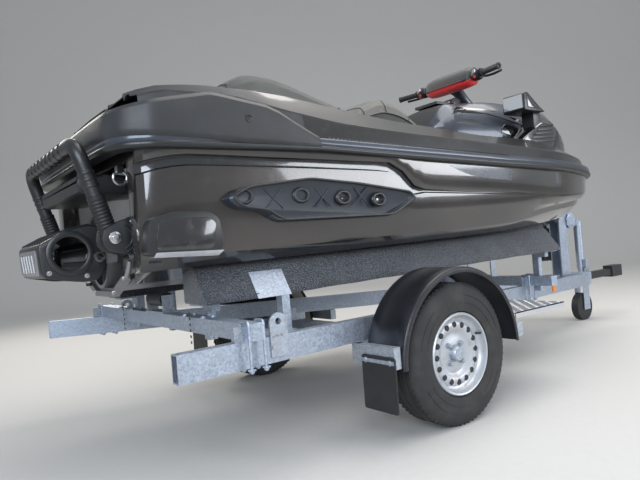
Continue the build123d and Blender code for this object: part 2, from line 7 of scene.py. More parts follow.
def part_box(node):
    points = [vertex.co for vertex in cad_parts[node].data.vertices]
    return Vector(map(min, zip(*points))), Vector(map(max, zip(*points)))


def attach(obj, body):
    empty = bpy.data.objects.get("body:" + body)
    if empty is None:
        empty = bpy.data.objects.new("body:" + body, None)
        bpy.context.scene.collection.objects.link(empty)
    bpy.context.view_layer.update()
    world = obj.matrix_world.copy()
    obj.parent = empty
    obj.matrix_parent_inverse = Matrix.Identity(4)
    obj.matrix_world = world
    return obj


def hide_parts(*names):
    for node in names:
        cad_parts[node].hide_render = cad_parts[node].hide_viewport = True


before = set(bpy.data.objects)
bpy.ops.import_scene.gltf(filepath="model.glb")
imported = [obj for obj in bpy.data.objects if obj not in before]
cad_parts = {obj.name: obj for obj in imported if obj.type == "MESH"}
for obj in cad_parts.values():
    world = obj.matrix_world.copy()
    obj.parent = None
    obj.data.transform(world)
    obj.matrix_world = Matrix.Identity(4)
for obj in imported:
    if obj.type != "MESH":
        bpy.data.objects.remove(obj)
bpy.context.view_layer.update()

# Places taken from the frame: the axle and the stern
wheelLow, wheelHigh = (Vector(corner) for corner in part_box("tyre_right"))
axleX = (wheelLow.x + wheelHigh.x) / 2
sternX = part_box("hull")[0][0] - 0.035
sideName = {-1: "Right", 1: "Left"}


# One output of a shader node, with the sums that can be made from it
class Flow:
    def __init__(self, tree, socket=None):
        self.tree = tree
        self.socket = socket

    def put(self, target, value):
        if isinstance(value, Flow):
            self.tree.links.new(value.socket, target)
        elif target.type == "RGBA" and len(value) == 3:
            target.default_value = (*value, 1)
        else:
            target.default_value = value

    def node(self, kind, settings=None, sockets=None, out=0):
        made = self.tree.nodes.new("ShaderNode" + kind)
        for key, value in (settings or {}).items():
            setattr(made, key, value)
        for key, value in (sockets or {}).items():
            self.put(made.inputs[key], value)
        return Flow(self.tree, made.outputs[out] if len(made.outputs) else None)

    def sum(self, operation, first, second):
        return self.node("Math", {"operation": operation}, {0: first, 1: second})

    def __add__(self, other):
        return self.sum("ADD", self, other)

    __radd__ = __add__

    def __sub__(self, other):
        return self.sum("SUBTRACT", self, other)

    def __rsub__(self, other):
        return self.sum("SUBTRACT", other, self)

    def __mul__(self, other):
        return self.sum("MULTIPLY", self, other)

    __rmul__ = __mul__

    def blur(self, low, high):
        return self.node("MapRange", {"interpolation_type": "SMOOTHSTEP"}, {0: self, 1: low, 2: high})

    def mix(self, first, second):
        colours = {"data_type": "RGBA"}
        return self.node("Mix", colours, {0: self, 6: first, 7: second}, 2)


def startMaterial(name):
    mat = bpy.data.materials.new(name)
    mat.use_nodes = True
    mat.node_tree.nodes.clear()
    flow = Flow(mat.node_tree)
    place = flow.node("TexCoord", out=3)
    return mat, flow, place


def finishMaterial(mat, flow, constants, varying, height=None, depth=0.001):
    if height is not None:
        bumpSockets = {"Height": height, "Strength": 1.0, "Distance": depth}
        varying["Normal"] = flow.node("Bump", None, bumpSockets)
    shader = flow.node("BsdfPrincipled", None, {**constants, **varying})
    flow.node("OutputMaterial", None, {0: shader})
    return mat


def noise(flow, place, scale, detail=3, rough=0.5):
    return flow.node("TexNoise", None, {"Vector": place, "Scale": scale, "Detail": detail,
        "Roughness": rough})


def axisOf(flow, place, index):
    return flow.node("SeparateXYZ", None, {0: place}, index)


def stretched(flow, place, scale):
    return flow.node("Mapping", None, {0: place, "Scale": scale})


def gelcoat(name, look):
    mat, flow, place = startMaterial(name)
    flake = noise(flow, place, 1400, 1).blur(0.55, 0.75)
    cloud = noise(flow, place, 3.0, 4).blur(0.35, 0.65)
    dust = noise(flow, place, 26, 6, 0.7).blur(0.5, 0.8)
    deep = cloud.mix(look["shade"], look["colour"])
    colour = (flake * look["flake"]).mix(deep, look["glint"])
    colour = (dust * look["dust"]).mix(colour, (0.32, 0.31, 0.29))
    roughness = look["rough"] + dust * 0.1 + cloud * 0.03
    constants = {"Metallic": look["metal"], "Coat Weight": look["coat"], "Coat Roughness": 0.05}
    return finishMaterial(mat, flow, constants, {"Base Color": colour, "Roughness": roughness},
        noise(flow, place, 55, 1), 0.00025)


def moulding(name, look):
    mat, flow, place = startMaterial(name)
    grain = noise(flow, place, look["grain"], 3, 0.65)
    wear = noise(flow, place, 7, 5, 0.6).blur(0.45, 0.8)
    speck = noise(flow, place, 220, 4, 0.8).blur(0.62, 0.74)
    colour = wear.mix(look["colour"], look["worn"])
    colour = (speck * look["dust"]).mix(colour, (0.25, 0.26, 0.28))
    roughness = look["rough"] + wear * 0.1 - grain * 0.06
    return finishMaterial(mat, flow, {"Metallic": 0.0}, {"Base Color": colour, "Roughness": roughness},
        grain, look["depth"])


def zinc(name, look):
    mat, flow, place = startMaterial(name)
    cell = flow.node("TexVoronoi", None, {"Vector": place, "Scale": look["spangle"], "Randomness": 1.0}, 1)
    tone = axisOf(flow, cell, 0)
    cloud = noise(flow, place, 5, 5, 0.6).blur(0.3, 0.7)
    streak = noise(flow, stretched(flow, place, (4, 4, 22)), 3, 5, 0.7).blur(0.5, 0.72)
    rustMask = noise(flow, place, look["rustScale"], 7, 0.72).blur(look["rustFrom"], look["rustFrom"] + 0.1)
    white = noise(flow, place, 34, 6, 0.75).blur(0.56, 0.72)
    colour = tone.mix(look["dark"], look["light"])
    colour = (cloud * 0.55).mix(colour, look["cloud"])
    colour = (streak * 0.3).mix(colour, look["dark"])
    colour = (white * 0.35).mix(colour, (0.62, 0.66, 0.72))
    rustTone = noise(flow, place, 90, 4).mix((0.22, 0.07, 0.025), (0.1, 0.04, 0.02))
    colour = rustMask.mix(colour, rustTone)
    roughness = 0.36 + tone * 0.14 + cloud * 0.1 + rustMask * 0.3
    metallic = 0.85 - rustMask * 0.8 - white * 0.25
    varying = {"Base Color": colour, "Roughness": roughness, "Metallic": metallic}
    return finishMaterial(mat, flow, {}, varying, tone * 0.25 + rustMask + cloud * 0.5, 0.0004)


def rubberFinish(name, look):
    mat, flow, place = startMaterial(name)
    dirt = noise(flow, place, 9, 6, 0.65).blur(0.42, 0.75)
    fine = noise(flow, place, 320, 3, 0.6)
    colour = (dirt * look["dirt"]).mix(look["colour"], look["soil"])
    roughness = look["rough"] + dirt * 0.12
    return finishMaterial(mat, flow, {}, {"Base Color": colour, "Roughness": roughness}, fine, 0.0002)


def hide(name, look):
    mat, flow, place = startMaterial(name)
    grain = flow.node("TexVoronoi", {"feature": "DISTANCE_TO_EDGE"},
        {"Vector": place, "Scale": look["grain"]})
    cloud = noise(flow, place, 5, 4).blur(0.35, 0.7)
    fine = noise(flow, place, 600, 2)
    colour = cloud.mix(look["colour"], look["worn"])
    colour = (grain.blur(0.0, 0.12) * 0.5).mix(look["worn"], colour)
    roughness = look["rough"] + cloud * 0.08 + fine * 0.05
    return finishMaterial(mat, flow, {"Sheen Weight": 0.15}, {"Base Color": colour, "Roughness": roughness},
        grain.blur(0.0, 0.16) + fine * 0.2, 0.00035)


def pile(name, look):
    mat, flow, place = startMaterial(name)
    loops = flow.node("TexVoronoi", None, {"Vector": place, "Scale": look["loops"]})
    fleck = noise(flow, place, 300, 2, 0.9).blur(0.57, 0.64)
    damp = noise(flow, place, 6, 4).blur(0.35, 0.7)
    colour = damp.mix(look["colour"], look["damp"])
    colour = (fleck * 0.8).mix(colour, look["fleck"])
    return finishMaterial(mat, flow, {"Sheen Weight": 0.3},
        {"Base Color": colour, "Roughness": 0.9 - damp * 0.1}, 1 - loops.blur(0.0, 0.6), 0.003)


def plainMetal(name, look):
    mat, flow, place = startMaterial(name)
    brushed = noise(flow, stretched(flow, place, look["brush"]), 60, 4, 0.6)
    stain = noise(flow, place, 14, 6, 0.7).blur(0.5, 0.78)
    colour = (stain * look["stain"]).mix(look["colour"], look["tarnish"])
    roughness = look["rough"] + brushed * 0.12 + stain * 0.15
    return finishMaterial(mat, flow, {"Metallic": look["metal"]},
        {"Base Color": colour, "Roughness": roughness}, brushed, 0.0001)


# Finishes of the craft
hullPaint = gelcoat("HullBronze", {"colour": (0.040, 0.034, 0.031), "shade": (0.028, 0.025, 0.024),
    "glint": (0.20, 0.18, 0.16), "flake": 0.4, "dust": 0.03, "rough": 0.18, "metal": 0.45, "coat": 1.0})
# HullBlack is painted shade on the hull's side groove and underside; it also colours a plate on the stern
# blocks
hullBlack = gelcoat("HullBlack", {"colour": (0.010, 0.010, 0.012), "shade": (0.007, 0.007, 0.009),
    "glint": (0.06, 0.06, 0.07), "flake": 0.2, "dust": 0.10, "rough": 0.16, "metal": 0.0, "coat": 1.0})
graphicPaint = gelcoat("HullGraphic", {"colour": (0.080, 0.084, 0.096), "shade": (0.066, 0.070, 0.080),
    "glint": (0.3, 0.3, 0.32), "flake": 0.4, "dust": 0.05, "rough": 0.26, "metal": 0.5, "coat": 1.0})
deckPaint = gelcoat("DeckBronze", {"colour": (0.026, 0.025, 0.025), "shade": (0.018, 0.018, 0.019),
    "glint": (0.14, 0.13, 0.12), "flake": 0.3, "dust": 0.06, "rough": 0.28, "metal": 0.45, "coat": 0.5})
graphitePanel = gelcoat("GraphitePanel", {"colour": (0.052, 0.062, 0.080), "shade": (0.040, 0.047, 0.062),
    "glint": (0.16, 0.18, 0.22), "flake": 0.3, "dust": 0.08, "rough": 0.32, "metal": 0.45, "coat": 0.35})
pianoBlack = gelcoat("PianoBlack", {"colour": (0.006, 0.006, 0.008), "shade": (0.005, 0.005, 0.006),
    "glint": (0.03, 0.03, 0.04), "flake": 0.1, "dust": 0.05, "rough": 0.12, "metal": 0.0, "coat": 1.0})
grainBlack = moulding("GrainBlack", {"colour": (0.018, 0.019, 0.021), "worn": (0.030, 0.032, 0.036),
    "dust": 0.35, "grain": 420, "rough": 0.46, "depth": 0.0006})
satinBlack = moulding("SatinBlack", {"colour": (0.013, 0.014, 0.015), "worn": (0.022, 0.023, 0.026),
    "dust": 0.12, "grain": 700, "rough": 0.38, "depth": 0.0002})
guardBlack = moulding("GuardBlack", {"colour": (0.012, 0.013, 0.016), "worn": (0.022, 0.024, 0.030),
    "dust": 0.10, "grain": 500, "rough": 0.33, "depth": 0.00025})
sponsonBlue = moulding("SponsonSlate", {"colour": (0.020, 0.025, 0.034), "worn": (0.028, 0.034, 0.046),
    "dust": 0.10, "grain": 500, "rough": 0.36, "depth": 0.0002})
darkVinyl = hide("DarkVinyl", {"colour": (0.022, 0.022, 0.022), "worn": (0.040, 0.040, 0.038), "grain": 420,
    "rough": 0.48})
oliveVinyl = hide("OliveVinyl", {"colour": (0.066, 0.064, 0.055), "worn": (0.084, 0.081, 0.070),
    "grain": 420, "rough": 0.46})
redVinyl = hide("RedVinyl", {"colour": (0.75, 0.012, 0.014), "worn": (0.60, 0.010, 0.012), "grain": 420,
    "rough": 0.42})
matFoam = moulding("MatFoam", {"colour": (0.020, 0.021, 0.022), "worn": (0.034, 0.035, 0.036), "dust": 0.3,
    "grain": 260, "rough": 0.75, "depth": 0.0006})
softRubber = rubberFinish("SoftRubber", {"colour": (0.012, 0.012, 0.013), "soil": (0.05, 0.05, 0.05),
    "dirt": 0.25, "rough": 0.52})
castAlloy = plainMetal("CastAlloy", {"colour": (0.38, 0.38, 0.39), "tarnish": (0.20, 0.20, 0.21),
    "stain": 0.7, "rough": 0.38, "metal": 0.9, "brush": (1, 1, 1)})
brightSteel = plainMetal("BrightSteel", {"colour": (0.60, 0.60, 0.61), "tarnish": (0.35, 0.34, 0.32),
    "stain": 0.4, "rough": 0.18, "metal": 1.0, "brush": (1, 1, 8)})
mirrorSilver = plainMetal("MirrorSilver", {"colour": (0.80, 0.82, 0.84), "tarnish": (0.6, 0.6, 0.6),
    "stain": 0.1, "rough": 0.02, "metal": 1.0, "brush": (1, 1, 1)})

# Finishes of the trailer
zincFrame = zinc("ZincFrame", {"light": (0.50, 0.56, 0.65), "dark": (0.30, 0.34, 0.41), "spangle": 150,
    "cloud": (0.40, 0.46, 0.55), "rustScale": 13, "rustFrom": 0.70})
zincRusty = zinc("ZincRusty", {"light": (0.52, 0.57, 0.64), "dark": (0.30, 0.33, 0.38), "spangle": 150,
    "cloud": (0.42, 0.46, 0.52), "rustScale": 24, "rustFrom": 0.60})
coatedBlack = plainMetal("CoatedBlack", {"colour": (0.014, 0.014, 0.016), "tarnish": (0.05, 0.05, 0.05),
    "stain": 0.4, "rough": 0.36, "metal": 0.0, "brush": (1, 1, 1)})
rimSilver = plainMetal("RimSilver", {"colour": (0.50, 0.52, 0.55), "tarnish": (0.22, 0.13, 0.08),
    "stain": 0.55, "rough": 0.34, "metal": 0.55, "brush": (1, 1, 1)})
chequerAlloy = plainMetal("ChequerAlloy", {"colour": (0.62, 0.64, 0.67), "tarnish": (0.36, 0.36, 0.36),
    "stain": 0.5, "rough": 0.30, "metal": 0.9, "brush": (8, 1, 1)})
strapBlue = moulding("StrapBlue", {"colour": (0.010, 0.045, 0.40), "worn": (0.02, 0.07, 0.48), "dust": 0.05,
    "grain": 600, "rough": 0.6, "depth": 0.0006})
amberLens = moulding("AmberLens", {"colour": (0.85, 0.22, 0.015), "worn": (0.80, 0.26, 0.03), "dust": 0.05,
    "grain": 300, "rough": 0.25, "depth": 0.0003})
tyreRubber = rubberFinish("TyreRubber", {"colour": (0.020, 0.020, 0.021), "soil": (0.085, 0.078, 0.068),
    "dirt": 0.45, "rough": 0.74})
carpetPile = pile("CarpetPile", {"colour": (0.012, 0.014, 0.019), "damp": (0.020, 0.024, 0.033),
    "fleck": (0.20, 0.22, 0.26), "loops": 170})
print("finishes made")


# Making meshes. A part is its points, its faces and the place of its finish in the list of finishes.
mergeReach = 0.00002
sharpMargin = 8


def addMesh(name, verts, faces, mats, faceMats=None):
    mesh = bpy.data.meshes.new(name)
    mesh.from_pydata([tuple(v) for v in verts], [], faces)
    for mat in mats:
        mesh.materials.append(mat)
    if faceMats:
        mesh.polygons.foreach_set("material_index", faceMats)
    thing = bpy.data.objects.new(name, mesh)
    bpy.context.scene.collection.objects.link(thing)
    return thing


def bake(thing):
    graph = bpy.context.evaluated_depsgraph_get()
    mesh = bpy.data.meshes.new_from_object(thing.evaluated_get(graph))
    thing.modifiers.clear()
    thing.data = mesh
    return thing


def tidyMesh(thing, bevel=0.0, segments=2, angle=30):
    shape = bmesh.new()
    shape.from_mesh(thing.data)
    bmesh.ops.remove_doubles(shape, verts=shape.verts, dist=mergeReach)
    bmesh.ops.recalc_face_normals(shape, faces=shape.faces)
    shape.to_mesh(thing.data)
    shape.free()
    if bevel:
        made = thing.modifiers.new("Bevel", "BEVEL")
        made.width = bevel
        made.segments = segments
        made.limit_method = "ANGLE"
        made.angle_limit = math.radians(angle)
        made.harden_normals = False
        bake(thing)
    thing.data.shade_smooth()
    thing.data.set_sharp_from_angle(angle=math.radians(angle + sharpMargin))
    return thing


def settle(thing, body="root", nodes=()):
    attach(thing, body)
    if nodes:
        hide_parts(*nodes)
    return thing


def loftGrid(rings, closed=True, caps=True):
    count = len(rings[0])
    verts = [point for ring in rings for point in ring]
    faces = []
    span = count if closed else count - 1
    for i in range(len(rings) - 1):
        for j in range(span):
            a, b = i * count + j, i * count + (j + 1) % count
            faces.append((a, b, b + count, a + count))
    if caps and closed:
        last = (len(rings) - 1) * count
        faces.append(tuple(range(count - 1, -1, -1)))
        faces.append(tuple(last + j for j in range(count)))
    return verts, faces


def hermite(t, start, end, leaving, arriving):
    return ((2 * t**3 - 3 * t**2 + 1) * start + (t**3 - 2 * t**2 + t) * leaving
        + (3 * t**2 - 2 * t**3) * end + (t**3 - t**2) * arriving)


def curveThrough(rows, per):
    dense = []
    for i in range(len(rows) - 1):
        a, b = rows[max(i - 1, 0)], rows[i]
        c, d = rows[i + 1], rows[min(i + 2, len(rows) - 1)]
        for k in range(per):
            t = k / per
            row = []
            for p, q, r, s in zip(a, b, c, d):
                m0, m1 = (r - p) / 2, (s - q) / 2
                if (r - q) * (q - p) <= 0:
                    m0 = 0
                if (s - r) * (r - q) <= 0:
                    m1 = 0
                row.append(hermite(t, q, r, m0, m1))
            dense.append(row)
    dense.append(list(rows[-1]))
    return dense


def slopeAt(rows, i, column):
    def slope(k):
        return (rows[k + 1][column] - rows[k][column]) / (rows[k + 1][0] - rows[k][0])

    if i == 0 or i == len(rows) - 1:
        return slope(min(i, len(rows) - 2))
    before, after = slope(i - 1), slope(i)
    return 0 if before * after <= 0 else 2 * before * after / (before + after)


def evenRows(rows, step):
    result = []
    for i, (a, b) in enumerate(zip(rows, rows[1:])):
        span = b[0] - a[0]
        parts = max(1, round(span / step))
        for k in range(parts + (i == len(rows) - 2)):
            t = k / parts
            row = [a[0] + span * t]
            for column in range(1, len(a)):
                m0, m1 = slopeAt(rows, i, column) * span, slopeAt(rows, i + 1, column) * span
                row.append(hermite(t, a[column], b[column], m0, m1))
            result.append(row)
    return result


def prism(points, low, high):
    return loftGrid([[(x, y, z) for x, z in points] for y in (low, high)])


def joinParts(parts):
    verts, faces, faceMats = [], [], []
    for moreVerts, moreFaces, *mark in parts:
        shift = len(verts)
        verts += list(moreVerts)
        faces += [tuple(k + shift for k in face) for face in moreFaces]
        faceMats += (mark or [0]) * len(moreFaces)
    return verts, faces, faceMats


def flipped(part):
    verts = [(x, -y, z) for x, y, z in part[0]]
    faces = [tuple(reversed(face)) for face in part[1]]
    return (verts, faces, *part[2:])


def moved(part, matrix):
    return ([tuple(matrix @ Vector(v)) for v in part[0]], part[1], *part[2:])


def bothSides(*parts):
    return [item for part in parts for item in (part, flipped(part))]


def around(count, offset=0):
    for k in range(count):
        angle = math.tau * (k + offset) / count
        yield math.cos(angle), math.sin(angle)


def boxPart(low, high):
    points = [(low[0], low[2]), (high[0], low[2]), (high[0], high[2]), (low[0], high[2])]
    return prism(points, low[1], high[1])


def tubePart(points, radius, sides=16, caps=True, mark=0):
    points = [Vector(p) for p in points]
    radii = radius if isinstance(radius, list) else [radius] * len(points)
    rings = []
    side = None
    for i, point in enumerate(points):
        ahead = (points[min(i + 1, len(points) - 1)] - points[max(i - 1, 0)]).normalized()
        if side is None:
            side = ahead.orthogonal().normalized()
        side = (side - ahead * side.dot(ahead)).normalized()
        other = ahead.cross(side)
        rings.append([tuple(point + (side * c + other * s) * radii[i]) for c, s in around(sides)])
    return (*loftGrid(rings, caps=caps), mark)


def bendPath(points, radius, steps=6):
    points = [Vector(p) for p in points]
    path = [points[0]]
    for a, b, c in zip(points, points[1:], points[2:]):
        inward, outward = (a - b).normalized(), (c - b).normalized()
        reach = min(radius, (a - b).length / 2, (c - b).length / 2)
        for k in range(steps + 1):
            t = k / steps
            path.append((1 - t) ** 2 * (b + inward * reach) + 2 * t * (1 - t) * b
                + t**2 * (b + outward * reach))
    path.append(points[-1])
    return path


def turned(profile, centre, axis, sides=32, mark=0):
    axis = Vector(axis).normalized()
    side = axis.orthogonal().normalized()
    other = axis.cross(side)
    rings = []
    for c, s in around(sides):
        out = side * c + other * s
        rings.append([tuple(Vector(centre) + axis * along + out * r) for along, r in profile])
    verts, faces = loftGrid(rings, closed=False)
    size = len(profile)
    last = (sides - 1) * size
    faces += [(last + j, last + j + 1, j + 1, j) for j in range(size - 1)]
    return verts, faces, mark


def boltPart(centre, axis, size, height, mark=0):
    head = [(0, 0), (0, size), (height * 0.7, size), (height, size * 0.8), (height, 0)]
    washer = [(-0.001, 0), (-0.001, size * 1.5), (0.002, size * 1.5), (0.002, 0)]
    return (*joinParts([turned(head, centre, axis, 6), turned(washer, centre, axis, 20)])[:2], mark)


def carve(thing, parts):
    for part in parts:
        knife = tidyMesh(addMesh("Knife", *part[:2], []))
        made = thing.modifiers.new("Cut", "BOOLEAN")
        made.operation, made.solver, made.object = "DIFFERENCE", "EXACT", knife
        bake(thing)
        bpy.data.objects.remove(knife)


# Places on the craft count x from the stern. All sizes are in metres.
def craft(x, y, z):
    return (sternX + x, y, z)


def craftLine(points):
    return [craft(*point) for point in points]


def makeThing(name, part, mats, body="root", nodes=(), slot=None, bevel=0.0, angle=30, segments=2):
    verts, faces, *marks = part
    thing = addMesh(name, verts, faces, mats, *marks)
    settle(tidyMesh(thing, bevel, segments, angle), body, nodes)


def makeParts(name, parts, mats, *where, **how):
    makeThing(name, joinParts(parts), mats, *where, **how)


def rounded(points, radius, steps=4):
    path = []
    for i, corner in enumerate(points):
        here = Vector(corner)
        back = Vector(points[i - 1]) - here
        ahead = Vector(points[(i + 1) % len(points)]) - here
        reach = min(radius, back.length * 0.45, ahead.length * 0.45)
        first, last = here + back.normalized() * reach, here + ahead.normalized() * reach
        path += [tuple(first * (1 - t) ** 2 + here * 2 * t * (1 - t) + last * t * t)
            for t in (k / steps for k in range(steps + 1))]
    return path


def plate(points, low, high, radius=0.0, mark=0):
    outline = [(sternX + x, z) for x, z in points]
    return (*prism(rounded(outline, radius) if radius else outline, low, high), mark)


def skin(points, surface, lift=0.003, mark=0, radius=0.0):
    outline = rounded(points, radius) if radius else points
    count = len(outline)
    verts = [surface(x, z, lift) for x, z in outline] + [surface(x, z, -0.006) for x, z in outline]
    faces = [tuple(range(count)), tuple(reversed(range(count, 2 * count)))]
    faces += [(i, i + count, (i + 1) % count + count, (i + 1) % count) for i in range(count)]
    return verts, faces, mark


def rowAt(table, x):
    for first, second in zip(table, table[1:]):
        if x <= second[0]:
            t = max(x - first[0], 0) / (second[0] - first[0])
            return [a + (b - a) * t for a, b in zip(first, second)]
    return list(table[-1])


def crossSections(table, step, section):
    rings = []
    for row in evenRows(table, step):
        half = section(row)
        other = half[1:] if half[0][0] == 0 else half
        other = other[:-1] if half[-1][0] == 0 else other
        rings.append([craft(row[0], -y, z) for y, z in half] + [craft(row[0], y, z)
            for y, z in reversed(other)])
    return rings


def markedLoft(rings, markOf):
    verts, faces = loftGrid(rings)
    count = len(rings[0])
    marks = [int(markOf(j if j < count / 2 else count - 1 - j)) for j in range(count)] * (len(rings) - 1)
    return verts, faces, marks + [0] * (len(faces) - len(marks))


# Hull
hullTable = [
    # x, keel z, inner chine y z, chine y z, side foot y z, crease y z, groove height, depth, gunwale y z
    (0.035, 0.650, 0.290, 0.700, 0.500, 0.742, 0.528, 0.773, 0.540, 1.072, 0.038, 0.016, 0.552, 1.165),
    (0.055, 0.650, 0.296, 0.702, 0.512, 0.743, 0.545, 0.773, 0.562, 1.076, 0.038, 0.016, 0.577, 1.165),
    (0.095, 0.650, 0.300, 0.702, 0.517, 0.744, 0.554, 0.774, 0.576, 1.086, 0.037, 0.016, 0.592, 1.164),
    (0.200, 0.650, 0.300, 0.702, 0.521, 0.746, 0.560, 0.776, 0.585, 1.099, 0.036, 0.015, 0.600, 1.162),
    (0.515, 0.650, 0.300, 0.703, 0.520, 0.748, 0.563, 0.778, 0.587, 1.094, 0.034, 0.014, 0.602, 1.150),
    (0.920, 0.650, 0.300, 0.704, 0.520, 0.752, 0.565, 0.782, 0.589, 1.085, 0.034, 0.014, 0.603, 1.135),
    (1.120, 0.650, 0.300, 0.705, 0.520, 0.755, 0.565, 0.785, 0.590, 1.079, 0.038, 0.014, 0.603, 1.128),
    (1.195, 0.650, 0.299, 0.706, 0.520, 0.756, 0.565, 0.786, 0.590, 1.036, 0.053, 0.014, 0.603, 1.125),
    (1.262, 0.650, 0.298, 0.706, 0.520, 0.757, 0.565, 0.786, 0.590, 0.978, 0.038, 0.012, 0.603, 1.122),
    (1.325, 0.650, 0.297, 0.707, 0.519, 0.758, 0.565, 0.787, 0.590, 0.974, 0.014, 0.006, 0.603, 1.120),
    (1.950, 0.652, 0.290, 0.712, 0.510, 0.770, 0.558, 0.798, 0.588, 0.952, 0.009, 0.004, 0.601, 1.100),
    (2.458, 0.668, 0.260, 0.730, 0.460, 0.800, 0.518, 0.850, 0.560, 0.932, 0.008, 0.003, 0.572, 1.085),
    (2.864, 0.715, 0.190, 0.770, 0.350, 0.835, 0.415, 0.878, 0.466, 0.948, 0.007, 0.003, 0.482, 1.077),
    (3.148, 0.805, 0.110, 0.845, 0.215, 0.888, 0.280, 0.921, 0.334, 0.974, 0.006, 0.002, 0.352, 1.075),
    (3.351, 0.940, 0.034, 0.956, 0.088, 0.972, 0.125, 0.991, 0.162, 1.012, 0.005, 0.002, 0.185, 1.075),
    (3.407, 1.004, 0.010, 1.010, 0.024, 1.021, 0.034, 1.031, 0.046, 1.042, 0.004, 0.001, 0.062, 1.076),
]
grooveEnd = 1.335
hullStep = 0.05


def hullSection(row):
    _, keel, iy, iz, cy, cz, sy, sz, ry, rz, high, deep, gy, gz = row
    return [(0, keel), (iy * 0.5, (keel + iz) / 2 - 0.004), (iy, iz), (iy + 0.014, iz - 0.012), (cy, cz),
        (cy + 0.01, cz - 0.01), (sy, sz), (sy + 0.006, sz + 0.03), ((sy + ry) / 2 + 0.008, (sz + rz) / 2),
        (ry + 0.004, rz - high / 2 - 0.004), (ry - deep, rz - high / 2 + 0.003),
        (ry - deep, rz + high / 2 - 0.003), (ry + 0.006, rz + high / 2), (gy, gz)]


def buildHull():
    rings = crossSections(hullTable, hullStep, hullSection)
    verts, faces = loftGrid(rings)
    count = len(rings[0])
    half = len(hullSection(hullTable[0])) - 1
    faceMats = []
    for x, *_ in evenRows(hullTable, hullStep)[:-1]:
        for j in range(count):
            k = j if j < half else (count - 2 - j if j < count - 1 else half)
            # Painted shade: the faces of the side groove, where the overhanging upper band casts its shadow,
            # and the underside from the keel up to the foot of the side get HullBlack for the shade that
            # falls there
            shadedGroove = k in (9, 10, 11) and x < grooveEnd
            shadedUnderside = k <= 5
            faceMats.append(1 if shadedGroove or shadedUnderside else 0)
    faceMats += [0] * (len(faces) - len(faceMats))
    thing = addMesh("HullShell", verts, faces, [hullPaint, hullBlack], faceMats)
    tidyMesh(thing)
    carve(thing, [boxPart(craft(-0.1, -0.462, 0.55), craft(0.085, 0.462, 1.11)),
        boxPart(craft(-0.1, -0.185, 0.55), craft(0.43, 0.185, 0.92))])
    tidyMesh(thing, 0.004, 2, 22)
    settle(thing, nodes=("hull",))


buildHull()
print("hull built")

# The rail round the gunwale, swept along its plan
gunwalePlan = [(3.432, 0.0), (3.417, 0.100), (3.351, 0.220), (3.148, 0.382), (2.864, 0.510), (2.458, 0.600),
    (2.205, 0.622), (1.950, 0.6275), (1.320, 0.6275), (0.740, 0.6275), (0.320, 0.6275), (0.110, 0.6250),
    (0.040, 0.604), (-0.008, 0.570), (-0.036, 0.520), (-0.046, 0.470), (-0.050, 0.300), (-0.050, 0.0)]
railLine = [(0.74, 1.176), (1.95, 1.130), (3.48, 1.094)]
bumperTop = [(-0.06, 1.262), (0.08, 1.290), (0.29, 1.330), (0.53, 1.297), (0.735, 1.192)]


def alongLine(line, x):
    for (x0, z0), (x1, z1) in zip(line, line[1:]):
        if x <= x1:
            return z0 + (z1 - z0) * max(x - x0, 0) / (x1 - x0)
    return line[-1][1]


def railHeight(x):
    return alongLine(railLine, x)


def planPath(steps):
    dense = curveThrough(gunwalePlan, steps)
    starboardSide = [Vector((x, -y)) for x, y in dense]
    portSide = [Vector((x, y)) for x, y in reversed(dense[:-1])]
    return starboardSide + portSide


def sweepBand(path, profileAt):
    rings = []
    for i, point in enumerate(path):
        ahead = path[min(i + 1, len(path) - 1)] - path[max(i - 1, 0)]
        inward = Vector((ahead.y, -ahead.x)).normalized()
        if inward.dot(Vector((1.6, 0)) - point) < 0:
            inward = -inward
        rings.append([craft(point.x + inward.x * inset, point.y + inward.y * inset, z)
            for inset, z in profileAt(point.x)])
    return rings


def buildRubRail():
    path = planPath(6)[1:-1]

    def profile(x):
        top = railHeight(x)
        return [(0.05, top - 0.046), (0.006, top - 0.044), (0.0, top - 0.036), (0.0, top - 0.026),
            (0.008, top - 0.022), (0.004, top - 0.014), (0.008, top + 0.006), (0.016, top + 0.01),
            (0.05, top + 0.012)]

    rings = sweepBand(path, profile)
    verts, faces = loftGrid(rings)
    count = len(rings[0])
    faceMats = [1 if j in (4, 5, 6) else 0 for _ in range(len(rings) - 1) for j in range(count)] + [0, 0]
    makeThing("RubRail", (verts, faces, faceMats), [satinBlack, graphitePanel], nodes=("rub_rail",),
        slot="black_moulding", bevel=0.0015, segments=1)


buildRubRail()


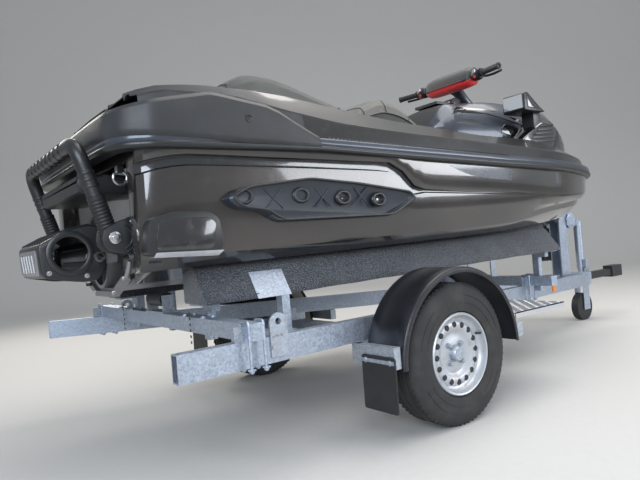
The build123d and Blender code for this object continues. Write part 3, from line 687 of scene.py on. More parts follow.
# Deck with its footwells
deckTable = [
    # x, outer y, shoulder y z, coaming top y z, pedestal top y z, well floor z
    (0.060, 0.560, 0.545, 1.318, 0.470, 1.340, 0.230, 1.348, 1.342),
    (0.150, 0.592, 0.565, 1.338, 0.480, 1.372, 0.230, 1.373, 1.372),
    (0.345, 0.600, 0.572, 1.338, 0.482, 1.388, 0.230, 1.388, 1.388),
    (0.416, 0.602, 0.575, 1.332, 0.482, 1.388, 0.230, 1.382, 1.371),
    (0.487, 0.604, 0.577, 1.320, 0.482, 1.387, 0.232, 1.370, 1.058),
    (0.640, 0.606, 0.580, 1.293, 0.483, 1.379, 0.232, 1.363, 1.058),
    (0.924, 0.608, 0.585, 1.255, 0.485, 1.346, 0.234, 1.335, 1.058),
    (1.259, 0.608, 0.589, 1.233, 0.490, 1.308, 0.236, 1.308, 1.058),
    (1.635, 0.607, 0.588, 1.217, 0.490, 1.284, 0.236, 1.288, 1.058),
    (1.939, 0.606, 0.585, 1.203, 0.490, 1.265, 0.236, 1.272, 1.058),
    (2.060, 0.603, 0.582, 1.200, 0.487, 1.264, 0.236, 1.269, 1.058),
    (2.142, 0.600, 0.578, 1.198, 0.480, 1.265, 0.230, 1.268, 1.261),
    (2.446, 0.576, 0.552, 1.187, 0.430, 1.269, 0.215, 1.272, 1.270),
    (2.853, 0.486, 0.458, 1.172, 0.330, 1.262, 0.160, 1.266, 1.264),
    (3.137, 0.356, 0.328, 1.148, 0.215, 1.208, 0.100, 1.212, 1.210),
    (3.341, 0.188, 0.165, 1.115, 0.090, 1.136, 0.045, 1.140, 1.138),
    (3.397, 0.064, 0.052, 1.094, 0.030, 1.099, 0.015, 1.101, 1.100),
]


def deckSection(row):
    x, oy, sy, sz, ty, tz, py, pz, floor = row
    low = railHeight(x) + 0.006
    wide = min(0.435, ty - 0.048)
    return [(oy, low), (sy + 0.008, sz - 0.012), (sy + 0.006, sz - 0.004), (sy, sz),
        (ty + 0.012, tz - 0.01), (ty, tz), (ty - 0.034, tz), (wide, tz - 0.012),
        (wide - 0.006, floor + 0.01), (wide - 0.014, floor), (py + 0.03, floor), (py + 0.018, floor + 0.01),
        (py, pz - 0.02), (py - 0.03, pz), (0, pz + 0.004)]


def buildDeck():
    rings = crossSections(deckTable, hullStep, deckSection)
    verts, faces = loftGrid(rings, closed=False)
    half = len(deckSection(deckTable[0])) - 1
    faceMats = []
    for x, *_ in evenRows(deckTable, hullStep)[:-1]:
        for j in range(2 * half):
            k = j if j < half else 2 * half - 1 - j
            well = k in (8, 9, 10) and 0.45 < x < 2.09
            aft = x < 0.66 - 0.3 * max(0, k) / 5 if k < 6 else x < 0.36
            faceMats.append(3 if well else 2 if k in (1, 2) else 1 if aft else 0)
    thing = addMesh("DeckMoulding", verts, faces, [deckPaint, grainBlack, satinBlack, matFoam], faceMats)
    made = thing.modifiers.new("Thick", "SOLIDIFY")
    made.thickness = 0.004
    made.offset = -1
    tidyMesh(thing, 0.0, 2, 24)
    bake(thing)
    thing.data.shade_smooth()
    thing.data.set_sharp_from_angle(angle=math.radians(34))
    settle(thing, nodes=("deck", "stern_deck", "footwell_mats"))


buildDeck()


def buildBumper():
    path = [p for p in planPath(8) if p.x < 0.745]

    def profile(x):
        top = alongLine(bumperTop, x)
        foot = 1.166 - 0.033 * min(max(x, 0), 0.735) / 0.735
        return [(0.07, foot + 0.004), (0.01, foot), (0.0, foot + 0.014), (-0.003, foot + 0.028),
            (0.002, top - 0.016), (0.01, top - 0.003), (0.024, top), (0.075, top + 0.004)]

    makeThing("SternBumper", loftGrid(sweepBand(path, profile)), [grainBlack], nodes=("stern_bumper",),
        slot="black_moulding", bevel=0.003, angle=24)
    plugs = []
    for side in (-1, 1):
        centre = craft(0.43, side * 0.6245, 1.24)
        plugs.append(turned([(-0.004, 0.0), (0.004, 0.004), (0.003, 0.009), (0.006, 0.012), (0.006, 0.015),
            (-0.004, 0.017)], centre, (0, side, 0), 24))
    makeParts("BumperPlugs", plugs, [satinBlack])


buildBumper()
print("deck and rails built")


# Painted graphic on the hull side and the tread strip on the gunwale
def hullSide(x, z, lift):
    half = hullSection(rowAt(hullTable, x))[6:]
    for (y0, z0), (y1, z1) in zip(half, half[1:]):
        if z <= z1 and z1 > z0:
            t = min(max((z - z0) / (z1 - z0), 0), 1)
            return craft(x, -(y0 + (y1 - y0) * t + lift), z)
    return craft(x, -(half[-1][0] + lift), z)


graphicLow = [(1.500, 1.088), (1.610, 1.052), (1.740, 1.030), (1.900, 1.019), (2.100, 1.008),
    (2.300, 1.002), (2.500, 1.000), (2.700, 1.002), (2.900, 1.012), (3.050, 1.026)]
graphicHigh = [(1.500, 1.091), (1.610, 1.090), (1.740, 1.085), (1.900, 1.078), (2.100, 1.071),
    (2.300, 1.065), (2.500, 1.060), (2.700, 1.057), (2.900, 1.054), (3.050, 1.052)]


def buildGraphic():
    low = curveThrough(graphicLow, 5)
    high = curveThrough(graphicHigh, 5)
    sunk, proud = -0.002, 0.0012
    rings = []
    for (x0, z0), (x1, z1) in zip(low, high):
        rings.append([hullSide(x0, z0, sunk), hullSide(x0, z0, proud),
            hullSide((x0 + x1) / 2, (z0 + z1) / 2, proud), hullSide(x1, z1, proud), hullSide(x1, z1, sunk)])
    makeParts("HullGraphic", bothSides(loftGrid(rings)), [graphicPaint], angle=40)


tread = {"start": 0.800, "end": 1.960, "count": 58, "long": 0.008, "wide": 0.006, "deep": 0.008}


def buildTreadStrip():
    parts = []
    long, wide = tread["long"], tread["wide"]
    for k in range(tread["count"]):
        x = tread["start"] + (tread["end"] - tread["start"]) * k / tread["count"]
        for row in (0, 1):
            y = 0.59 + row * 0.016 + 0.002
            z = railHeight(x) + 0.02 - row * 0.004
            diamond = craftLine([(x - long, -y, z), (x, -y - wide, z - 0.001), (x + long, -y, z),
                (x, -y + wide, z + 0.001)])
            base = [(px, py, pz - tread["deep"]) for px, py, pz in diamond]
            parts.append(loftGrid([base, diamond]))
    makeParts("TreadStrip", bothSides(*parts), [satinBlack], angle=35)


buildGraphic()
buildTreadStrip()


# Seats
seatStep = 0.03
pipingLift = 0.001
rearSeat = [
    # x, foot z, top z, half width
    (0.586, 1.350, 1.455, 0.120), (0.592, 1.340, 1.490, 0.152), (0.612, 1.334, 1.520, 0.172),
    (0.660, 1.326, 1.550, 0.182), (0.737, 1.318, 1.576, 0.185), (0.820, 1.312, 1.573, 0.185),
    (0.896, 1.308, 1.560, 0.184), (1.090, 1.298, 1.501, 0.182), (1.240, 1.292, 1.455, 0.180),
    (1.283, 1.292, 1.436, 0.170), (1.290, 1.292, 1.415, 0.150),
]
frontSeat = [
    (1.301, 1.292, 1.395, 0.160), (1.306, 1.292, 1.418, 0.180), (1.340, 1.290, 1.446, 0.192),
    (1.400, 1.289, 1.478, 0.195), (1.502, 1.287, 1.516, 0.195), (1.580, 1.285, 1.505, 0.193),
    (1.640, 1.283, 1.486, 0.188), (1.740, 1.280, 1.432, 0.176), (1.830, 1.278, 1.370, 0.160),
    (1.858, 1.277, 1.325, 0.140), (1.868, 1.276, 1.290, 0.110),
]


def seatSection(row):
    _, low, top, half = row
    deep = top - low
    return [(half * 0.965, low), (half, low + 0.25 * deep), (half, low + 0.6 * deep),
        (half - 0.004, low + 0.64 * deep), (half - 0.013, low + 0.8 * deep),
        (half - 0.034, low + 0.93 * deep), (half * 0.55, low + 0.985 * deep), (0, top)]


def seatLine(table, start, end, part):
    rows = [row for row in evenRows(table, seatStep) if start <= row[0] <= end]
    return [craft(x, -(half + pipingLift), low + part * (top - low)) for x, low, top, half in rows]


def overSeat(table, x):
    _, low, top, half = rowAt(table, x)
    side = [(-y, z) for y, z in seatSection((x, low, top, half))[2:]]
    return [craft(x, y, z + pipingLift) for y, z in side + [(-y, z) for y, z in reversed(side[:-1])]]


def buildSeats():
    for name, node, table in (("RearSaddle", "rear_seat", rearSeat),
            ("FrontSaddle", "front_seat", frontSeat)):
        front = table is frontSeat
        part = markedLoft(crossSections(table, seatStep, seatSection), lambda j: (j >= 3) == front)
        makeThing(name, part, [darkVinyl, oliveVinyl], nodes=(node,), slot="seat_vinyl", bevel=0.006,
            angle=20, segments=3)
        start, end = table[2][0], table[-3][0]
        parts = []
        for height in (0.62, 0.1):
            parts += bothSides(tubePart(seatLine(table, start, end, height), 0.0042, 8))
        for x in (start + 0.002, end - 0.002) if not front else (start + 0.03, 1.52, 1.7):
            parts.append(tubePart(overSeat(table, x), 0.0038, 8))
        makeParts(name + "Piping", parts, [satinBlack], angle=60)
    strap = craftLine([(0.7, -0.188, 1.425), (0.8, -0.192, 1.452), (1.0, -0.191, 1.425),
        (1.17, -0.188, 1.38)])
    makeParts("SaddleGrip", bothSides(tubePart(bendPath(strap, 0.06), 0.011, 12)), [satinBlack], angle=60)


buildSeats()

# The bar, its neck, the pad, grips, housings and levers
barX, barZ = 2.293, 1.700
neckFoot, neckTop = Vector((2.475, 1.546)), Vector((barX, barZ))
barHalf = [(barX - 0.062, 0.395, 1.698), (barX - 0.020, 0.200, 1.702), (barX, 0.090, 1.700)]
padOutline = [(-0.070, -0.044), (-0.062, 0.040), (0.020, 0.083), (0.068, 0.051), (0.060, -0.030),
    (0.0, -0.057)]


def buildBar():
    body = "handlebar"
    barRun = [(x, -y, z) for x, y, z in barHalf] + barHalf[::-1]
    path = bendPath(craftLine(barRun), 0.05, 8)
    makeParts("SteeringBar", [tubePart(path, 0.011, 16)], [satinBlack], body, ("handlebar",), "black_metal",
        angle=60)
    along = (neckTop - neckFoot).normalized()
    across = Vector((along.y, -along.x))
    rings = []
    for t, wide, deep in ((-0.085, 0.046, 0.046), (-0.03, 0.044, 0.044), (0.015, 0.036, 0.034),
            (0.045, 0.03, 0.028), (0.1, 0.029, 0.026), (0.17, 0.034, 0.028), (0.215, 0.06, 0.03),
            (0.236, 0.062, 0.028)):
        centre = neckFoot + along * t
        ring = [(abs(c) ** 0.7 * math.copysign(wide, c), abs(s) ** 0.7 * math.copysign(deep, s))
            for c, s in around(24)]
        rings.append([craft(centre.x + across.x * v, u, centre.y + across.y * v) for u, v in ring])
    makeParts("BarNeck", [loftGrid(rings)], [graphitePanel], body, bevel=0.002)
    for side in (-1, 1):
        end, inner = (Vector(craft(x, side * y, z)) for x, y, z in barHalf[:2])
        run = (end - inner).normalized()
        profile = [(0.0, 0.0105), (0.0, 0.0225), (0.004, 0.024), (0.008, 0.0225), (0.01, 0.0165)]
        for k in range(12):
            along = 0.0095 * k
            profile += [(0.014 + along, 0.0168), (0.0185 + along, 0.0174), (0.02 + along, 0.016)]
        profile += [(0.13, 0.017), (0.133, 0.0195), (0.139, 0.0195), (0.141, 0.0165), (0.141, 0.009),
            (0.12, 0.008)]
        start = end - run * 0.136
        makeParts("BarGrip" + sideName[side], [turned(profile, start, run, 28)], [softRubber], body,
            ("grips",) if side < 0 else (), angle=40)
        pod = inner + run * 0.022
        shell = turned([(-0.034, 0.012), (-0.033, 0.031), (-0.027, 0.035), (0.0, 0.036), (0.02, 0.034),
            (0.03, 0.029), (0.032, 0.012)], pod, run, 28)
        knob = turned([(0.0, 0.013), (0.01, 0.013), (0.013, 0.01), (0.013, 0.0)],
            pod + Vector((-0.03, 0, 0.01)), Vector((-1, 0, 0.25)), 20, 1)
        stop = turned([(0.0, 0.009), (0.008, 0.009), (0.01, 0.007), (0.01, 0.0)],
            pod + Vector((-0.026, 0, -0.016)), Vector((-1, 0, -0.5)), 20, 2)
        makeParts("SwitchHousing" + sideName[side], [shell, knob, stop], [satinBlack, castAlloy, redVinyl],
            body, ("switch_housings",) if side < 0 else (), bevel=0.0)
        lever = [pod + Vector((0.012, 0, -0.006)), pod + Vector((0.05, side * 0.02, -0.01)),
            pod + Vector((0.046, side * 0.075, -0.014)), pod + Vector((0.012, side * 0.155, -0.018))]
        makeParts("ControlLever" + sideName[side], [tubePart(bendPath([tuple(p) for p in lever], 0.02),
            0.0075, 12)], [satinBlack], body, angle=60)


def buildPad():
    outline = rounded([(barX + x, barZ + z) for x, z in padOutline], 0.03)
    rings, marks = [], []
    middleZ = barZ + 0.012
    for y, scale in ((-0.176, 0.55), (-0.172, 0.8), (-0.16, 0.93), (-0.13, 0.985), (-0.085, 1.0),
            (0.085, 1.0), (0.13, 0.985), (0.16, 0.93), (0.172, 0.8), (0.176, 0.55)):
        rings.append([craft(barX + (x - barX) * scale, y, middleZ + (z - middleZ) * scale)
            for x, z in outline])
    verts, faces = loftGrid(rings)
    for face in faces:
        middle = sum(verts[i][2] for i in face) / len(face)
        back = sum(verts[i][0] for i in face) / len(face) - (sternX + barX)
        marks.append(1 if middle < barZ - 0.004 + back * 0.25 else 0)
    makeThing("BarPad", (verts, faces, marks), [darkVinyl, redVinyl], "handlebar", ("handlebar_pad",),
        "seat_vinyl", bevel=0.002, angle=35)
    seam = [craft(barX - 0.071, y, barZ - 0.02) for y in (-0.165, -0.1, 0, 0.1, 0.165)]
    makeParts("PadSeam", [tubePart(seam, 0.003, 8)], [satinBlack], "handlebar", angle=60)


buildBar()
buildPad()

# Bunks: carpet wrapped round a sloping board
bunkSection = [(-0.568, 0.598), (-0.566, 0.612), (-0.486, 0.722), (-0.474, 0.728), (-0.446, 0.796),
    (-0.436, 0.800), (-0.378, 0.800), (-0.371, 0.794), (-0.365, 0.606), (-0.370, 0.600)]


bunk = {"aft": -0.952, "fore": 1.302, "spread": 0.044, "rise": 0.022, "tuck": 0.010, "wave": 0.0012,
    "steps": 30}


def buildBunks():
    for side in (-1, 1):
        rings = []
        for k in range(bunk["steps"] + 1):
            t = k / bunk["steps"]
            x = axleX + bunk["aft"] + (bunk["fore"] - bunk["aft"]) * t
            tuck = bunk["tuck"] if k in (0, bunk["steps"]) else 0.0
            shift, rise = bunk["spread"] * t, bunk["rise"] * t
            wave = bunk["wave"] * math.sin(k * 1.9)
            rings.append([(x, -side * (y + shift + tuck * (0.5 if y < -0.46 else -0.5)), z + rise + wave)
                for y, z in bunkSection])
        makeThing("CarpetBunk" + sideName[side], loftGrid(rings), [carpetPile],
            nodes=("bunks",) if side < 0 else (), slot="bunk_carpet", bevel=0.006, angle=25, segments=3)


buildBunks()
print("seats, bar and bunks built")


# Console, hood and the panels on them
shellStep = 0.04
consoleTable = [
    # x, half width at the foot, half width on top, top z
    (1.905, 0.165, 0.105, 1.385), (1.918, 0.172, 0.120, 1.402), (2.028, 0.235, 0.165, 1.522),
    (2.120, 0.246, 0.172, 1.531), (2.425, 0.285, 0.195, 1.555), (2.560, 0.293, 0.199, 1.553),
    (2.680, 0.299, 0.200, 1.548), (2.699, 0.296, 0.192, 1.535),
]
hoodTable = [
    # x, half width at the foot, foot z, shoulder z, half width on top, top z
    (2.706, 0.294, 1.272, 1.393, 0.190, 1.536), (2.716, 0.298, 1.270, 1.395, 0.200, 1.549),
    (2.957, 0.280, 1.270, 1.380, 0.185, 1.535), (3.060, 0.250, 1.246, 1.350, 0.166, 1.498),
    (3.158, 0.210, 1.216, 1.310, 0.140, 1.440), (3.230, 0.166, 1.190, 1.270, 0.106, 1.380),
    (3.276, 0.130, 1.173, 1.240, 0.080, 1.330), (3.320, 0.092, 1.159, 1.208, 0.054, 1.268),
    (3.335, 0.075, 1.153, 1.190, 0.040, 1.236),
]


def consoleSection(row):
    _, low, high, top = row
    return [(low, 1.242), (low + 0.004, 1.33), (low + 0.001, 1.378),
        ((low + high) / 2 + 0.01, (1.375 + top) / 2), (high + 0.004, top - 0.02),
        (high - 0.016, top - 0.002), (high * 0.5, top + 0.004), (0, top + 0.006)]


def hoodSection(row):
    _, low, foot, shoulder, high, top = row
    return [(low, foot), (low + 0.002, shoulder - 0.012), (low - 0.006, shoulder + 0.008),
        ((low + high) / 2 + 0.004, (shoulder + top) / 2), (high + 0.004, top - 0.018),
        (high - 0.016, top - 0.002), (high * 0.5, top + 0.004), (0, top + 0.006)]


def sideOf(table, section):
    def surface(x, z, lift):
        half = section(rowAt(table, x))
        for (y0, z0), (y1, z1) in zip(half, half[1:]):
            if z <= z1 or (y1, z1) == half[-2]:
                t = min(max((z - z0) / max(z1 - z0, 1e-6), 0), 1)
                return craft(x, -(y0 + (y1 - y0) * t + lift), z)
        return craft(x, 0, z)
    return surface


def topOf(table, section):
    def surface(x, y, lift):
        half = section(rowAt(table, x))
        for (y0, z0), (y1, z1) in zip(half, half[1:]):
            if y1 <= abs(y) <= y0:
                t = (y0 - abs(y)) / max(y0 - y1, 1e-6)
                return craft(x, y, z0 + (z1 - z0) * t + lift)
        return craft(x, y, half[-1][1] + lift)
    return surface


consoleSide, hoodSide = sideOf(consoleTable, consoleSection), sideOf(hoodTable, hoodSection)
consoleTop, hoodTop = topOf(consoleTable, consoleSection), topOf(hoodTable, hoodSection)
kneeDish = [(1.965, 1.262), (2.330, 1.262), (2.420, 1.300), (2.300, 1.385), (2.130, 1.430), (2.020, 1.400)]
swoosh = [(1.965, 1.425), (2.060, 1.470), (2.300, 1.462), (2.560, 1.400), (2.690, 1.330), (2.690, 1.372),
    (2.580, 1.430), (2.320, 1.498), (2.090, 1.506)]
inset = [(2.350, 1.345), (2.640, 1.270), (2.680, 1.300), (2.520, 1.372), (2.400, 1.400)]
lowerFront = [(2.440, 1.252), (2.692, 1.252), (2.692, 1.262), (2.520, 1.290)]


def buildConsole():
    shell = markedLoft(crossSections(consoleTable, shellStep, consoleSection), lambda j: j >= 5)
    makeThing("ConsoleShell", shell, [graphitePanel, grainBlack], nodes=("console",), slot="graphite_panel",
        bevel=0.006, angle=20, segments=3)
    parts = []
    for points, lift, mark in ((kneeDish, 0.003, 0), (swoosh, 0.006, 1), (inset, 0.005, 1),
            (lowerFront, 0.004, 0)):
        parts += bothSides(skin(points, consoleSide, lift, mark, 0.035))
    makeParts("ConsolePanels", parts, [satinBlack, pianoBlack], bevel=0.002)
    gauge = [(2.04, -0.085), (2.175, -0.1), (2.3, -0.085), (2.3, 0.085), (2.175, 0.1), (2.04, 0.085)]
    screen = [(2.195, -0.06), (2.265, -0.06), (2.265, 0.06), (2.195, 0.06)]
    hood = [(2.186, 1.5), (2.192, 1.565), (2.215, 1.592), (2.262, 1.592), (2.276, 1.56), (2.28, 1.5)]

    def screenPlane(x, y, lift):
        return craft(x - 0.022, y, 1.578 + (x - 2.23) * 0.4 + lift)

    pod = [skin(gauge, consoleTop, 0.004, 0, 0.02), plate(hood, -0.074, 0.074, 0.012),
        skin(screen, screenPlane, 0.01, 1, 0.006)]
    makeParts("GaugePod", pod, [satinBlack, pianoBlack], bevel=0.003)
    trim = [(1.96, 1.248), (2.3, 1.256), (2.69, 1.256)]
    line = tubePart([consoleSide(x, z, 0.002) for x, z in trim], 0.005, 8)
    makeParts("ConsoleTrim", bothSides(line), [satinBlack], angle=60)


def buildHood():
    shell = loftGrid(crossSections(hoodTable, shellStep, hoodSection))
    makeThing("HoodShell", shell, [hullPaint], "hood", ("hood",), "graphite_panel", bevel=0.008, angle=18,
        segments=3)
    shoulder = [(row[0], row[3] + 0.004) for row in hoodTable[1:]]
    crest = [(2.722, 1.45), (2.96, 1.44), (3.16, 1.372), (3.29, 1.262)]
    parts = []
    for points in (shoulder, crest):
        dense = curveThrough(points, 4)
        parts += bothSides(tubePart([hoodSide(x, z, 0.0) for x, z in dense], 0.0035, 8))
    brow = [(2.73, -0.12), (2.96, -0.09), (3.15, -0.05), (3.24, 0.0), (3.15, 0.05), (2.96, 0.09),
        (2.73, 0.12)]
    parts.append(skin(brow, hoodTop, 0.003, 1, 0.03))
    flank = [(2.73, 1.29), (2.98, 1.288), (3.13, 1.25), (3.06, 1.31), (2.88, 1.366), (2.735, 1.372)]
    parts += bothSides(skin(flank, hoodSide, 0.003, 1, 0.03))
    makeParts("HoodTrim", parts, [satinBlack, pianoBlack], "hood", bevel=0.001)


buildConsole()
buildHood()

# Side pods with louvres, and the mirrors
podOutline = [(2.264, 1.215), (2.400, 1.310), (2.591, 1.406), (2.700, 1.395), (2.798, 1.334),
    (2.758, 1.227), (2.640, 1.200)]
mirrorOutline = [(2.370, 1.443), (2.573, 1.443), (2.513, 1.474), (2.404, 1.551), (2.375, 1.543)]
mirrorHole = [(2.398, 1.459), (2.515, 1.459), (2.482, 1.477), (2.408, 1.530), (2.398, 1.524)]


louvre = {"count": 5, "low": 1.262, "rise": 0.024, "start": 2.430, "shift": 0.030}


def scaledOutline(points, scale):
    middleX = sum(x for x, z in points) / len(points)
    middleZ = sum(z for x, z in points) / len(points)
    return [(middleX + (x - middleX) * scale, middleZ + (z - middleZ) * scale) for x, z in points]


def buildPods():
    outline = rounded(podOutline, 0.05, 5)
    rings = []
    for y, scale in ((-0.263, 1.0), (-0.33, 1.0), (-0.385, 0.975), (-0.408, 0.93), (-0.419, 0.84)):
        rings.append([craft(x, y if x < 2.69 else min(y, -0.307), z)
            for x, z in scaledOutline(outline, scale)])
    makeParts("SidePods", bothSides(loftGrid(rings)), [pianoBlack], nodes=("side_pods",),
        slot="gloss_black", bevel=0.003, angle=40)
    slats = []
    for k in range(louvre["count"]):
        z = louvre["low"] + k * louvre["rise"]
        start = louvre["start"] + k * louvre["shift"]
        slats += bothSides(plate([(start, z), (2.69, z + 0.012), (2.69, z + 0.024),
            (start + 0.02, z + 0.012)], -0.4245, -0.4, 0.003))
    makeParts("PodLouvres", slats, [satinBlack], bevel=0.0015)
    shell = plate(mirrorOutline, -0.45, -0.302, 0.014)
    inner = rounded(mirrorHole, 0.01)
    dish = (*loftGrid([[craft(x, -0.453, z) for x, z in inner],
        [craft(x, -0.448, z) for x, z in scaledOutline(inner, 0.96)]]), 1)
    arm = plate([(2.508, 1.35), (2.594, 1.35), (2.575, 1.452), (2.51, 1.452)], -0.41, -0.33, 0.012)
    makeParts("MirrorShells", bothSides(shell, arm, dish), [satinBlack, pianoBlack],
        nodes=("mirror_frames",), slot="black_moulding", bevel=0.004)


buildPods()

# Sponsons: a raised frame with oval holes and a bevelled foot
sponsonOutline = [(0.309, 0.961), (0.387, 1.000), (0.672, 1.029), (0.925, 1.007), (1.228, 0.966),
    (1.249, 0.936), (1.116, 0.868), (0.524, 0.869), (0.465, 0.911), (0.353, 0.926)]
sponsonHoles = [(0.385, 0.966), (0.629, 0.964), (0.832, 0.951), (1.019, 0.939)]


def buildSponsons():
    outline = rounded(sponsonOutline, 0.03)
    rings = []
    for y, scale, lift in ((-0.548, 1.02, -0.004), (-0.6, 1.0, 0.0), (-0.622, 0.985, 0.0),
            (-0.63, 0.955, 0.002), (-0.63, 0.925, 0.002), (-0.618, 0.9, 0.002)):
        rings.append([craft(x, y + (0.03 if z < 0.9 else 0.0), z + lift)
            for x, z in scaledOutline(outline, scale)])
    parts = [loftGrid(rings)]
    middle = 0.9495
    for x, z in sponsonHoles:
        centre = craft(x, -0.606, z)
        ring = turned([(0.0, 0.03), (0.014, 0.03), (0.02, 0.026), (0.02, 0.02), (0.004, 0.016), (0.0, 0.0)],
            centre, (0, -1, 0), 28, 1)
        there = Matrix.Translation(Vector(centre))
        parts.append(moved(ring, there @ Matrix.Diagonal((1.35, 1, 1, 1)) @ there.inverted()))
        parts.append(boltPart(craft(x, -0.6045, z), (0, -1, 0), 0.007, 0.006, mark=2))
    for x0, x1 in ((0.47, 0.545), (0.545, 0.47), (0.695, 0.765), (0.765, 0.695), (0.892, 0.958),
            (0.958, 0.892)):
        rib = [craft(x0, -0.618, middle + 0.04), craft(x1, -0.618, middle - 0.03)]
        parts.append(tubePart(rib, 0.003, 8))
    edge = [craft(x, -0.6295, z + 0.002) for x, z in scaledOutline(outline, 0.94)]
    parts.append(tubePart(edge + edge[:2], 0.005, 8, caps=False, mark=1))
    makeParts("Sponsons", bothSides(*parts), [sponsonBlue, satinBlack, brightSteel], nodes=("sponsons",),
        slot="graphite_panel", bevel=0.0015, angle=32)


buildSponsons()
print("console, hood, pods and sponsons built")


# Gear at the stern
stepHinge = (-0.010, 0.857)
stepHalf = 0.382
stepTube = {"height": 0.340, "bend": 0.075, "radius": 0.0262}
stepLean = Vector((-0.278, 0, 0.961)).normalized()
bucketHinge = (0.0, 0.800)
jetZ = 0.785
bucketOutline = [(0.025, 0.098), (-0.023, 0.122), (-0.067, 0.112), (-0.129, 0.093), (-0.208, 0.056),
    (-0.200, -0.060), (-0.142, -0.072), (-0.083, -0.086), (-0.010, -0.088), (0.025, -0.040)]
bracketOutline = [(-0.044, 0.888), (0.003, 0.910), (0.067, 0.929), (0.085, 0.929), (0.085, 0.803),
    (0.027, 0.797), (-0.032, 0.814), (-0.053, 0.843)]


def buildStep():
    foot = Vector(craft(stepHinge[0], -stepHalf, stepHinge[1]))
    top = foot + stepLean * stepTube["height"]
    path = bendPath([foot, top, (top.x, stepHalf, top.z), (foot.x, stepHalf, foot.z)], stepTube["bend"], 8)
    parts = [tubePart(path, stepTube["radius"], 24)]
    for side in (-1, 1):
        base = Vector((foot.x, side * stepHalf, foot.z))
        sleeve = [(0.02, 0.026), (0.022, 0.03)]
        for k in range(9):
            along = k * 0.012
            sleeve += [(0.03 + along, 0.0305), (0.036 + along, 0.0305), (0.038 + along, 0.028)]
        sleeve += [(0.14, 0.03), (0.15, 0.03), (0.152, 0.026)]
        parts.append(turned(sleeve, base, stepLean, 24, mark=1))
        for along in (0.182, 0.205, 0.228):
            ring = [(along, 0.026), (along + 0.003, 0.0285), (along + 0.009, 0.0285), (along + 0.012, 0.026)]
            parts.append(turned(ring, base, stepLean, 24))
        eye = [(-0.022, 0.006), (-0.022, 0.026), (-0.018, 0.03), (0.018, 0.03), (0.022, 0.026),
            (0.022, 0.006)]
        parts.append(turned(eye, base, (0, 1, 0), 24, mark=1))
    weave = []
    for k in range(61):
        weave.append((top.x + 0.0265 * math.cos(k * 0.9), -0.29 + k * 0.0097,
            top.z + 0.0265 * math.sin(k * 0.9)))
    parts.append(tubePart(weave, 0.0038, 6, mark=1))
    makeParts("BoardingStep", parts, [satinBlack, softRubber], "boarding_step", ("boarding_step",),
        "black_rubber", angle=50)


def buildBrackets():
    parts = []
    for low, high in ((-0.428, -0.413), (-0.351, -0.336)):
        parts.append(plate(bracketOutline, low, high, 0.016))
        for reach in (0.04, 0.054):
            arc = [craft(stepHinge[0] + 0.018 + reach * math.cos(a), low,
                stepHinge[1] + reach * math.sin(a)) for a in (math.radians(-70 + 14 * k)
                for k in range(11))]
            parts.append(tubePart(arc, 0.0035, 8))
        for x, z in ((0.056, 0.909), (0.066, 0.85), (0.06, 0.818)):
            parts.append(boltPart(craft(x, low, z), (0, -1, 0), 0.008, 0.006, mark=1))
    pivot = craft(stepHinge[0], -0.43, stepHinge[1])
    parts.append(boltPart(pivot, (0, -1, 0), 0.014, 0.008, mark=1))
    parts.append(turned([(0.0, 0.0), (0.0, 0.01), (0.102, 0.01), (0.102, 0.0)], pivot, (0, 1, 0), 16, mark=1))
    parts.append(plate([(0.07, 0.795), (0.085, 0.795), (0.085, 0.932), (0.07, 0.932)], -0.452, -0.312, 0.004))
    makeParts("StepBrackets", bothSides(*parts), [satinBlack, brightSteel], nodes=("step_brackets",),
        slot="black_moulding", bevel=0.002, angle=35)


def buildStepPad():
    rows = [(-0.085, 1.06, 1.07), (-0.08, 1.03, 1.083), (-0.06, 1.022, 1.09), (0.07, 1.022, 1.09),
        (0.085, 1.024, 1.088)]
    rings = [craftLine([(x, -0.29, low + 0.008), (x, -0.284, low), (x, 0.284, low), (x, 0.29, low + 0.008),
        (x, 0.29, high - 0.01), (x, 0.28, high), (x, -0.28, high), (x, -0.29, high - 0.01)])
        for x, low, high in rows]
    parts = [loftGrid(rings)]
    for k in range(21):
        y = -0.264 + k * 0.0264
        rib = craftLine([(0.07, y, 1.0895), (-0.058, y, 1.0895), (-0.08, y, 1.08), (-0.0855, y, 1.066)])
        parts.append(tubePart(rib, 0.0048, 6))
    makeParts("StepPad", parts, [grainBlack], nodes=("step_tread",), slot="black_moulding", bevel=0.003,
        angle=40)


